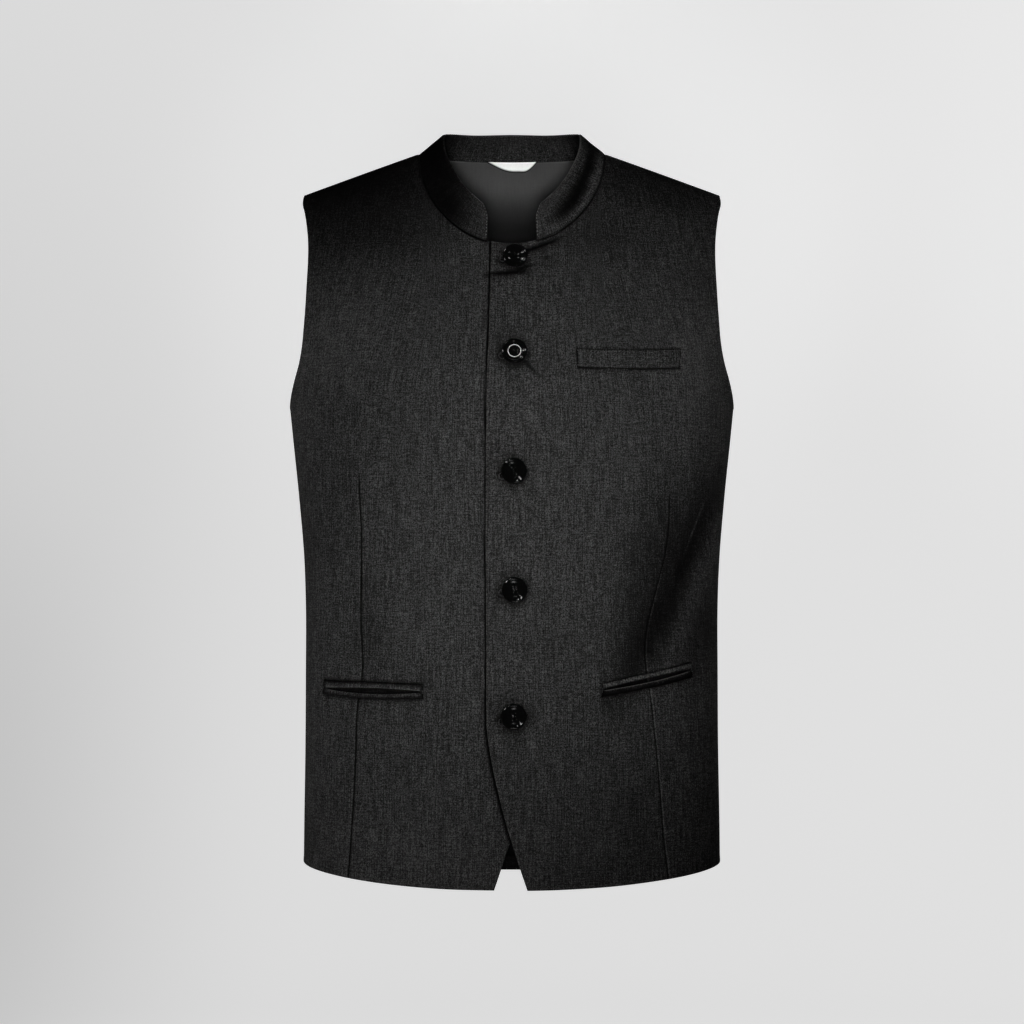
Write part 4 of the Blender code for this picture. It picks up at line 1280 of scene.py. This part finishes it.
def stripPlace(strip, across, up):
    # bilinear between the strip's corners, with its long edges sagging as a parabola
    a, b, c, d = (np.array(corner) for corner in strip["corners"])
    top = a + (b - a) * across[..., None]
    low = c + (d - c) * across[..., None]
    place = low + (top - low) * up[..., None]
    bow = 4 * across * (1 - across)
    place[..., 1] -= bow * (strip["sag"][1] + (strip["sag"][0] - strip["sag"][1]) * up)
    return place[..., 0], place[..., 1]


def fineEnds(length):
    # marks for a grid that is fine at both ends
    return [(place, stripShape["fine"], stripShape["fineSpread"]) for place in (0, length)]


def makeStrip(name, strip):
    # a folded strip whose middle swells off the front as a half wave to a power across its
    # breadth; painted shade along every sewn edge, and along the lip of a pocket's mouth a painted
    # highlight (painted shade where lip is below 0)
    near, far, low = (np.array(corner) for corner in strip["corners"][:3])
    length, tall = far[0] - near[0], near[1] - low[1]
    row = max(stripShape["leastRow"], tall / stripShape["rows"])
    across, up = np.meshgrid(gradedPlaces(length, stripShape["step"], fineEnds(length)),
                             gradedPlaces(tall, row, fineEnds(tall)))
    x, z = stripPlace(strip, across, up)
    crown = np.sin(math.pi * np.clip(up, 0, 1)) ** stripShape["crownPower"]
    lift = strip["seat"] + strip["crown"] * crown + cloudLift(x, z, *stripShape["cloud"])
    middle, outward = onFront(x, z, strip["hand"], lift)
    uv = np.stack([x * strip["hand"], z], axis=-1)
    sewn = [across * length, (1 - across) * length, up * tall, (1 - up) * tall]
    paintedShading = strip.get("pale", 0.0)
    if strip["mouth"]:
        lip = sewn.pop(2 if strip["mouth"] == "low" else 3)
        paintedShading = paintedShading + strip["lip"] * bell(lip - stripShape["lipPlace"], stripShape["lipWidth"])
    paintedShading = paintedShading - strip["dark"] * bell(np.minimum.reduce(sewn), strip["darkWidth"])
    piece = clothPiece(name, strip["node"], "suiting", strip, middle, outward, uv, paintedShading)


for name, strip in strips.items():
    makeStrip(name, strip)
print("collar, label, welt and jets made")

button = {
    "radius": 0.0115,
    "clearance": 0.0008,
    "shankRadius": 0.0009,
    "shankFlare": 1.6,
    "shankIn": 0.0003,  # how deep the shank's foot lies under the face of the left front's cloth
    "neck": 0.0002,
    "sides": 96,
    "profile": (  # share of the radius, height above the back in millimetres
        (0.55, 0.0), (0.80, 0.0), (0.90, 0.15), (0.96, 0.50), (0.99, 1.00), (1.00, 1.60),
        (0.99, 2.20), (0.965, 2.70), (0.93, 3.05), (0.885, 3.20), (0.84, 3.12), (0.80, 2.90),
        (0.765, 2.55), (0.735, 2.25), (0.70, 2.06), (0.66, 1.98), (0.62, 1.96), (0.595, 1.85),
        (0.57, 1.66), (0.545, 1.66), (0.52, 1.85), (0.49, 1.94), (0.42, 1.88), (0.36, 1.80),
        (0.31, 1.74), (0.27, 1.70), (0.235, 1.68), (0.20, 1.66), (0.165, 1.65), (0.13, 1.64),
        (0.09, 1.64), (0.05, 1.64), (0.00, 1.64),
    ),
    "holeRing": 0.0021,
    "holeRadius": 0.0009,
    "holeDepth": 0.0010,
    "faceStart": 0.0012,
    "tilts": (  # degrees nodded up and turned to the wearer's left, for each button from the top
        (-4.0, -2.0), (0.0, 0.0), (0.0, -1.0), (1.0, 1.0), (0.0, 3.0),
    ),
}
ring = {"radius": 0.0057, "width": 0.0006, "height": 0.0005, "rest": 0.0018, "sides": 96}
buttonRise = outline["lapShift"] + fronts["wall"] / 2 + button["clearance"]


def buttonPoint(number):
    # the form's point under a button, and its normal there
    x, z = np.array(buttonPlaces[number - 1])
    return onTorso(alongAt(x, z), z, -1)


def buttonSeat(number):
    # the frame whose Z stands out from the fronts, tilted about the button's back
    point, normal = buttonPoint(number)
    turn = Vector(normal).to_track_quat("Z", "Y").to_matrix().to_4x4()
    nod, side = (math.radians(angle) for angle in button["tilts"][number - 1])
    lean = Matrix.Rotation(side, 4, "Y") @ Matrix.Rotation(-nod, 4, "X")
    out = Matrix.Translation((0, 0, buttonRise))
    return np.array(Matrix.Translation(point) @ turn @ out @ lean @ out.inverted())


def seated(points, seat):
    # points turned and moved into a seat's frame
    return points @ seat[:3, :3].T + seat[:3, 3]


def turnedGrid(profile, sides):
    # (radius, height) turned round Z; the grid's first and last rings shrink to poles
    angle = np.arange(sides) * 2 * math.pi / sides
    r, z = np.asarray(profile).T[:, :, None]
    return np.stack([r * np.cos(angle), r * np.sin(angle), z + 0 * angle], axis=-1)


def tubeFaces(rings, sides):
    # quads between the rings and a fan at each end, whose poles come after the rings' points
    index = np.arange(rings * sides).reshape(rings, sides)
    first, last = (np.roll(index[end], -1) for end in (0, -1))
    foot = np.stack([np.full(sides, index.size), first, index[0]], axis=-1)
    head = np.stack([np.full(sides, index.size + 1), index[-1], last], axis=-1)
    return quadsOf(wrapped(index)), np.concatenate([foot, head])


def makeButton(number):
    # the profile turned round the shank; each hole is a pit of e to the minus (distance / radius)^4
    thick, rise = button["shankRadius"], buttonRise
    foot = fronts["wall"] / 2 - outline["lapShift"] + button["shankIn"]
    shank = [(0, foot), (thick, foot), (thick, rise - button["neck"]),
             (thick * button["shankFlare"], rise)]
    face = [(share * button["radius"], rise + up / 1000) for share, up in button["profile"]]
    grid = turnedGrid(shank + face, button["sides"])
    for k in range(4):
        angle = math.pi / 4 + k * math.pi / 2
        off = np.hypot(grid[..., 0] - button["holeRing"] * math.cos(angle),
                       grid[..., 1] - button["holeRing"] * math.sin(angle))
        pit = button["holeDepth"] * np.exp(-((off / button["holeRadius"]) ** 4))
        grid[..., 2] -= np.where(grid[..., 2] > rise + button["faceStart"], pit, 0)
    points = np.concatenate([grid[1:-1].reshape(-1, 3), grid[:1, 0], grid[-1:, 0]])
    quads, fans = tubeFaces(len(grid) - 2, button["sides"])
    meshPiece(f"button{number}", seated(points, buttonSeat(number)),
              quads.tolist() + fans.tolist(), hards["blackGloss"],
              node=f"button_{number}")


for number in range(1, 6):
    makeButton(number)


def makeRing(number):
    # a flat band with softly rounded shoulders, turned round the button's axis
    base = buttonRise + ring["rest"]
    turn = np.linspace(0, 2 * math.pi, 17)[:-1]
    r = ring["radius"] + ring["width"] / 2 * np.sign(np.cos(turn)) * np.abs(np.cos(turn)) ** 0.5
    z = base + ring["height"] * np.sign(np.sin(turn)) * np.abs(np.sin(turn)) ** 0.5
    grid = turnedGrid(np.stack([r, z], axis=-1), ring["sides"])
    index = np.arange(grid.shape[0] * grid.shape[1]).reshape(grid.shape[:2])
    faces = quadsOf(wrapped(wrapped(index).T).T)
    meshPiece(f"button{number}Ring", seated(grid.reshape(-1, 3), buttonSeat(number)),
              faces.tolist(), hards["paleRing"], node=f"button_{number}_ring")


makeRing(2)

stitch = {"steps": 9, "sides": 8, "power": 0.4}


def stitchPiece(name, starts, ends, outs, radius, arch, material):
    # thread = start + (end - start) t + out x arch x sin(pi t); its radius swells as sin to a power
    starts, ends, outs = (np.concatenate(value) for value in (starts, ends, outs))
    t = np.linspace(0, 1, stitch["steps"])[None, :, None]
    run = ends - starts
    ahead = run / np.linalg.norm(run, axis=-1, keepdims=True)
    aside = np.cross(ahead, outs)
    aside /= np.linalg.norm(aside, axis=-1, keepdims=True)
    upward = np.cross(aside, ahead)
    line = starts[:, None] + run[:, None] * t + upward[:, None] * arch * np.sin(math.pi * t)
    turn = np.arange(stitch["sides"]) * 2 * math.pi / stitch["sides"]
    around = aside[:, None] * np.cos(turn)[:, None] + upward[:, None] * np.sin(turn)[:, None]
    thick = radius * np.sin(math.pi * np.clip(t, 0, 1)) ** stitch["power"]
    rings = line[:, :, None] + thick[..., None] * around[:, None]
    rings = rings[:, 1:-1].reshape(len(rings), -1, 3)
    points = np.concatenate([rings, line[:, :1], line[:, -1:]], axis=1)
    first = np.arange(len(points))[:, None, None] * points.shape[1]
    quads, fans = tubeFaces(stitch["steps"] - 2, stitch["sides"])
    faces = (first + quads).reshape(-1, 4).tolist() + (first + fans).reshape(-1, 3).tolist()
    meshPiece(name, points, faces, hards[material])


buttonhole = {
    "halfLength": 0.0135,
    "halfWidth": 0.0021,
    "eye": 0.0023,
    "drop": 0.0008,
    "reach": 0.006,
    "count": 84,
    "bite": 0.0015,
    "thread": 0.00022,
    "arch": 0.0003,
    "rises": (0.0004, 0.0009),  # a stitch's inner and outer end above the front's middle
    "wobble": (0.85, 1.15),
    "eyeArc": (42, 318),
    "slitStart": -0.62,
    "leans": (8, 14, 20, 9, 22),  # degrees that the eye's end drags below level
}


def keyholeOutline():
    # an arc of the round eye, then a slit whose half width is a cosine of its length, and back
    half, eye, width = buttonhole["halfLength"], buttonhole["eye"], buttonhole["halfWidth"]
    arc = np.radians(np.linspace(*buttonhole["eyeArc"], 24))
    share = np.linspace(buttonhole["slitStart"], 1, 40)
    slit = np.stack([half * share, -width * np.cos(math.pi / 2 * share)], axis=-1)
    rim = np.stack([eye - half + eye * np.cos(arc), eye * np.sin(arc)], axis=-1)
    return np.concatenate([rim, slit, (slit * (1, -1))[-2:0:-1]])


def leaning(number):
    # a turn by the angle that a button's keyhole leans
    lean = math.radians(buttonhole["leans"][number - 1])
    return np.array([[math.cos(lean), math.sin(lean)], [-math.sin(lean), math.cos(lean)]])


def cutButtonholes(piece):
    # prisms of the keyhole outline, one at each button, taken out of the left front
    shape = keyholeOutline()
    count = len(shape)
    points, faces = [], []
    for number in range(1, 6):
        place, normal = buttonPoint(number)
        turn = np.array(Vector(normal).to_track_quat("Z", "Y").to_matrix())
        flat = shape @ leaning(number) - (0, buttonhole["drop"])
        for depth in (-buttonhole["reach"], buttonhole["reach"]):
            points.append(np.column_stack([flat, np.full(count, depth)]) @ turn.T + place)
        near, far = 2 * count * (number - 1) + np.arange(2 * count).reshape(2, count)
        sides = quadsOf(wrapped(np.array([near, far]))).tolist()
        faces += [near[::-1].tolist(), far.tolist(), *sides]
    mesh = bpy.data.meshes.new("keyholes")
    mesh.from_pydata(np.concatenate(points).tolist(), [], faces)
    cutter = bpy.data.objects.new("keyholes", mesh)
    scene.collection.objects.link(cutter)
    cut = piece.modifiers.new("buttonholes", "BOOLEAN")
    cut.operation, cut.object, cut.solver = "DIFFERENCE", cutter, "EXACT"
    graph = bpy.context.evaluated_depsgraph_get()
    holed = bpy.data.meshes.new_from_object(piece.evaluated_get(graph))
    piece.modifiers.clear()
    piece.data = holed
    holed.name = piece.name
    bpy.data.objects.remove(cutter)
    bpy.data.meshes.remove(mesh)


cutButtonholes(leftFront)
print("buttonholes cut")


def buttonholeStitches():
    # one thread across the cloth's edge at each step round every keyhole
    shape = keyholeOutline()
    loop = np.concatenate([shape, shape[:1]])
    lengths = pathLengths(loop)
    at = (np.arange(buttonhole["count"]) + 0.5) / buttonhole["count"] * lengths[-1]
    edge = placeAlong(loop, lengths, at)
    ahead = placeAlong(loop, lengths, at + 1e-4) - edge
    aside = np.stack([ahead[:, 1], -ahead[:, 0]], axis=-1)
    aside /= np.linalg.norm(aside, axis=1, keepdims=True)
    aside *= np.sign((aside * (edge - (0.001, 0))).sum(axis=1).sum())
    starts, ends, outs = [], [], []
    wobble = np.random.default_rng(11).uniform(*buttonhole["wobble"], (5, buttonhole["count"], 1))
    for number, (x, z) in enumerate(buttonPlaces, start=1):
        _, normal = buttonPoint(number)
        upright = math.hypot(normal[0], normal[1])
        for reach, rise, into in zip((0, buttonhole["bite"]), buttonhole["rises"], (starts, ends)):
            flat = (edge + aside * reach * wobble[number - 1]) @ leaning(number)
            px, pz = x + flat[:, 0], z + (flat[:, 1] - buttonhole["drop"]) * upright
            point, out = onFront(px, pz, 1, rise)
            into.append(point)
        outs.append(out)
    stitchPiece("buttonholeStitching", starts, ends, outs, buttonhole["thread"],
                buttonhole["arch"], "blackThread")


buttonholeStitches()

sewing = {"ring": 0.7, "high": 0.0015, "apart": 0.00022, "thread": 0.00028, "arch": 0.0006}


def buttonThreads():
    # two threads each way, crossed between each button's four holes
    starts, ends, outs = [], [], []
    r = button["holeRing"] * sewing["ring"]
    high = buttonRise + sewing["high"]
    for number in range(1, 6):
        seat = buttonSeat(number)
        for sx, sy in ((1, 1), (1, -1)):
            for shift in (-sewing["apart"], sewing["apart"]):
                a = np.array([[-sx * r + shift * sy, -sy * r - shift * sx, high]])
                b = np.array([[sx * r + shift * sy, sy * r - shift * sx, high]])
                starts.append(seated(a, seat))
                ends.append(seated(b, seat))
                outs.append(seat[None, :3, 2])
    stitchPiece("buttonThread", starts, ends, outs, sewing["thread"], sewing["arch"],
                "blackGloss")


buttonThreads()

pick = {
    "inset": 0.0009,
    "pitch": 0.0030,
    "length": 0.0015,
    "thread": 0.00030,
    "arch": 0.0001,
    "jitter": 0.0003,
    "off": 0.58,  # share of the wall that a stitch stands off the middle
    "foot": 0.002,
}


def collarStitches(name, first, last, material):
    # pick stitches at an inset from the band's top edge, on both its faces, from one length to
    # another of the way from the centre back round the band's end
    total = neckLengths[-1]
    shares = np.concatenate([np.linspace(0, 0.9, 300), np.linspace(0.9, 1, 300)[1:]])
    edge = np.stack([shares * total, collarHeight(shares)], axis=-1)
    down = np.linspace(edge[-1, 1], pick["foot"], 30)[1:]
    edge = np.concatenate([edge, np.stack([np.full_like(down, total), down], axis=-1)])
    ahead = np.gradient(edge, axis=0)
    ahead /= np.linalg.norm(ahead, axis=1, keepdims=True)
    path = edge + np.stack([ahead[:, 1], -ahead[:, 0]], axis=-1) * pick["inset"]
    lengths = pathLengths(path)
    begin = np.arange(pick["pitch"] / 2, lengths[-1] - pick["pitch"], pick["pitch"])
    begin = begin[(begin >= first * total) & (begin < last * total)]
    starts, ends, outs = [], [], []
    jitter = np.random.default_rng(4).uniform(-pick["jitter"], pick["jitter"], (2, len(begin)))
    for face in (1, -1):
        for mirror in np.array([(1, 1, 1), (-1, 1, 1)]):
            for shift, slip, into in zip((0, pick["length"]), jitter, (starts, ends)):
                flat = placeAlong(path, lengths, begin + shift + slip)
                point, normal = collarPlace(flat[:, 0] / total, flat[:, 1])
                into.append((point + normal * face * collar["wall"] * pick["off"]) * mirror)
            outs.append(normal * face * mirror)
    stitchPiece(name, starts, ends, outs, pick["thread"], pick["arch"], material)


collarStitches("collarBackStitching", 0.0, 0.34, "blackThread")
collarStitches("collarEndStitching", 0.84, 2.0, "greyThread")

tacks = {
    "thread": 0.00025,
    "arch": 0.0002,
    "pieces": {  # hand, then for each run: from, to, stitch length, gap, lift
        "weltStitching": (1, (
            ((0.0588, -0.1922), (0.0590, -0.2070), 0.0014, 0.0008, 0.0021),
            ((0.1516, -0.1908), (0.1500, -0.2064), 0.0014, 0.0008, 0.0021),
            ((0.1545, -0.2035), (0.1552, -0.2068), 0.0030, 0.0004, 0.0012),
            ((0.1552, -0.2035), (0.1545, -0.2068), 0.0030, 0.0004, 0.0012),
        )),
        "leftPocketTacks": (1, (
            ((0.0815, -0.4925), (0.0810, -0.5035), 0.0013, 0.0004, 0.0022),
            ((0.1632, -0.4760), (0.1642, -0.4882), 0.0013, 0.0004, 0.0022),
        )),
        "rightPocketTacks": (-1, (
            ((0.0802, -0.4930), (0.0800, -0.5050), 0.0013, 0.0004, 0.0022),
            ((0.1708, -0.4920), (0.1716, -0.5036), 0.0013, 0.0004, 0.0022),
        )),
    },
}


def frontStitches(name, hand, runs):
    # straight runs of stitches on a front
    starts, ends, outs = [], [], []
    for (x0, z0), (x1, z1), long, gap, lift in runs:
        total = math.hypot(x1 - x0, z1 - z0)
        begin = np.arange(0, max(total - long, 0) + 1e-9, long + gap)
        for shift, into in ((0, starts), (long, ends)):
            share = (begin + shift) / total
            point, normal = onFront(x0 + (x1 - x0) * share, z0 + (z1 - z0) * share, hand, lift)
            into.append(point)
        outs.append(normal)
    stitchPiece(name, starts, ends, outs, tacks["thread"], tacks["arch"], "blackThread")


for name, (hand, runs) in tacks["pieces"].items():
    frontStitches(name, hand, runs)
print("stitching made")

studio = {
    "floor": -1.40,
    "radius": 4.6,
    "cove": 1.3,
    "top": 4.2,
    "sides": 128,
    "wall": (0.62, 0.62, 0.62),
    "glow": 0.63,
    "cornerShare": 0.66,  # how much is left of the glow low down on the left
    "cornerX": (-0.45, -1.6),
    "cornerZ": (1.4, -1.5),
    "sky": (0.90, 0.905, 0.91),
    "skyStrength": 0.03,
    "areas": (  # name, place, looks at, width, height, watts, spread in degrees
        ("frontKey", (0.0, -2.3, -0.55), (0.02, -0.1, -0.24), 0.4, 0.6, 1.00, 16),
        ("leftKey", (-1.0, -2.0, -1.1), (-0.12, -0.1, -0.55), 0.5, 0.5, 0.74, 20),
        ("chestLeft", (-0.9, -2.2, -0.6), (-0.07, -0.1, -0.38), 0.4, 0.4, 0.13, 11),
        ("chestRight", (0.9, -2.2, -0.4), (0.09, -0.1, -0.30), 0.4, 0.4, 0.14, 9),
        ("neckSpot", (0.0, -2.4, -0.55), (0.0, 0.05, -0.02), 0.2, 0.4, 0.090, 7),
        ("backKey", (1.0, 2.5, 0.1), (0.0, 0.1, -0.32), 0.6, 0.6, 1.70, 18),
        ("backFill", (-1.4, 2.2, -0.4), (0.0, 0.1, -0.42), 0.6, 0.6, 0.60, 18),
        ("leftSide", (1.9, 1.7, -0.4), (0.2, 0.0, -0.38), 0.5, 0.5, 0.45, 14),
        ("rightSide", (-2.1, 1.2, -0.4), (-0.2, 0.0, -0.38), 0.5, 0.5, 0.45, 14),
        ("wallWash", (1.8, 0.6, 2.0), (1.0, 4.6, -0.4), 1.6, 1.6, 27, 150),
    ),
    "glosses": (  # seen by glossy surfaces alone
        ("glossAbove", (-1.5, -1.8, 1.0), (0, -0.1, -0.45), 0.5, 0.5, 0.32, 13),
        ("glossTop", (-0.9, -1.2, 2.1), (0, -0.08, -0.09), 0.5, 0.5, 0.09, 7),
        ("glossBelow", (0.2, -2.0, -1.5), (0, -0.1, -0.45), 1.2, 0.2, 0.09, 17),
    ),
}


def makeStage():
    # a profile of floor, quarter-round cove and wall, turned round the object; its glow fades
    # by the product of two soft steps, one across and one down
    bend = np.linspace(0, math.pi / 2, 24)
    r, cove, floor = studio["radius"], studio["cove"], studio["floor"]
    profile = [(0, floor)]
    profile += [(share * (r - cove), floor) for share in np.linspace(0.05, 0.99, 12)]
    profile += [(r - cove + cove * math.sin(a), floor + cove * (1 - math.cos(a))) for a in bend]
    profile += [(r, studio["top"]), (r, studio["top"] + 0.01)]
    grid = turnedGrid(profile, studio["sides"])
    index = np.arange(grid.shape[0] * grid.shape[1]).reshape(grid.shape[:2])
    faces = quadsOf(wrapped(index[1:]))
    centre = np.stack([0 * index[1], np.roll(index[1], -1), index[1]], axis=-1)[:, ::-1]
    mesh = bpy.data.meshes.new("studioFloor")
    mesh.from_pydata(grid.reshape(-1, 3).tolist(), [], faces[:, ::-1].tolist() + centre.tolist())
    material, tree, shader = newMaterial("paleStudio")
    shader.inputs["Base Color"].default_value = (*studio["wall"], 1)
    shader.inputs["Roughness"].default_value = 0.9
    shader.inputs["Specular IOR Level"].default_value = 0.1
    shader.inputs["Emission Color"].default_value = (1, 1, 1, 1)
    addNode(tree, "TexCoord")
    addNode(tree, "SeparateXYZ", {"Vector": tree.nodes[-1].outputs["Object"]})
    place = tree.nodes[-1].outputs
    dims = [
        addNode(tree, "MapRange", {"Value": place[axis]},
                {"From Min": low, "From Max": high, "To Min": 0, "To Max": 1},
                interpolation_type="SMOOTHSTEP")
        for axis, (low, high) in (("X", studio["cornerX"]), ("Z", studio["cornerZ"]))
    ]
    corner = addNode(tree, "Math", {0: dims[0], 1: dims[1]}, operation="MULTIPLY")
    glow = addNode(tree, "MapRange", {"Value": corner},
                   {"To Min": studio["glow"], "To Max": studio["glow"] * studio["cornerShare"]})
    tree.links.new(glow, shader.inputs["Emission Strength"])
    mesh.materials.append(material)
    mesh.shade_smooth()
    stage = bpy.data.objects.new("studioFloor", mesh)
    scene.collection.objects.link(stage)
    stage.visible_diffuse = stage.visible_glossy = False


makeStage()
world = bpy.data.worlds.new("paleRoom")
scene.world = world
world.use_nodes = True
sky = world.node_tree.nodes["Background"].inputs
sky["Color"].default_value = (*studio["sky"], 1)
sky["Strength"].default_value = studio["skyStrength"]

for name, place, target, width, height, watts, spread in studio["areas"] + studio["glosses"]:
    light = bpy.data.lights.new(name, "AREA")
    light.shape, light.size, light.size_y, light.energy = "RECTANGLE", width, height, watts
    light.spread = math.radians(spread)
    lamp = bpy.data.objects.new(name, light)
    lamp.location = place
    lamp.rotation_euler = (Vector(target) - Vector(place)).to_track_quat("-Z", "Y").to_euler()
    lamp.visible_glossy = name.startswith("gloss")
    lamp.visible_diffuse = not lamp.visible_glossy
    scene.collection.objects.link(lamp)

frontView = {"lens": 93.5, "sensor": 36, "place": (0.0002, -2.5, -0.33746)}
camera = bpy.data.cameras.new("camera")
camera.lens, camera.sensor_width = frontView["lens"], frontView["sensor"]
cameraObject = bpy.data.objects.new("camera", camera)
cameraObject.location = frontView["place"]
cameraObject.rotation_euler = (math.pi / 2, 0, 0)
scene.collection.objects.link(cameraObject)
scene.camera = cameraObject
scene.view_settings.view_transform = "Standard"
print("stage, lights and camera made")
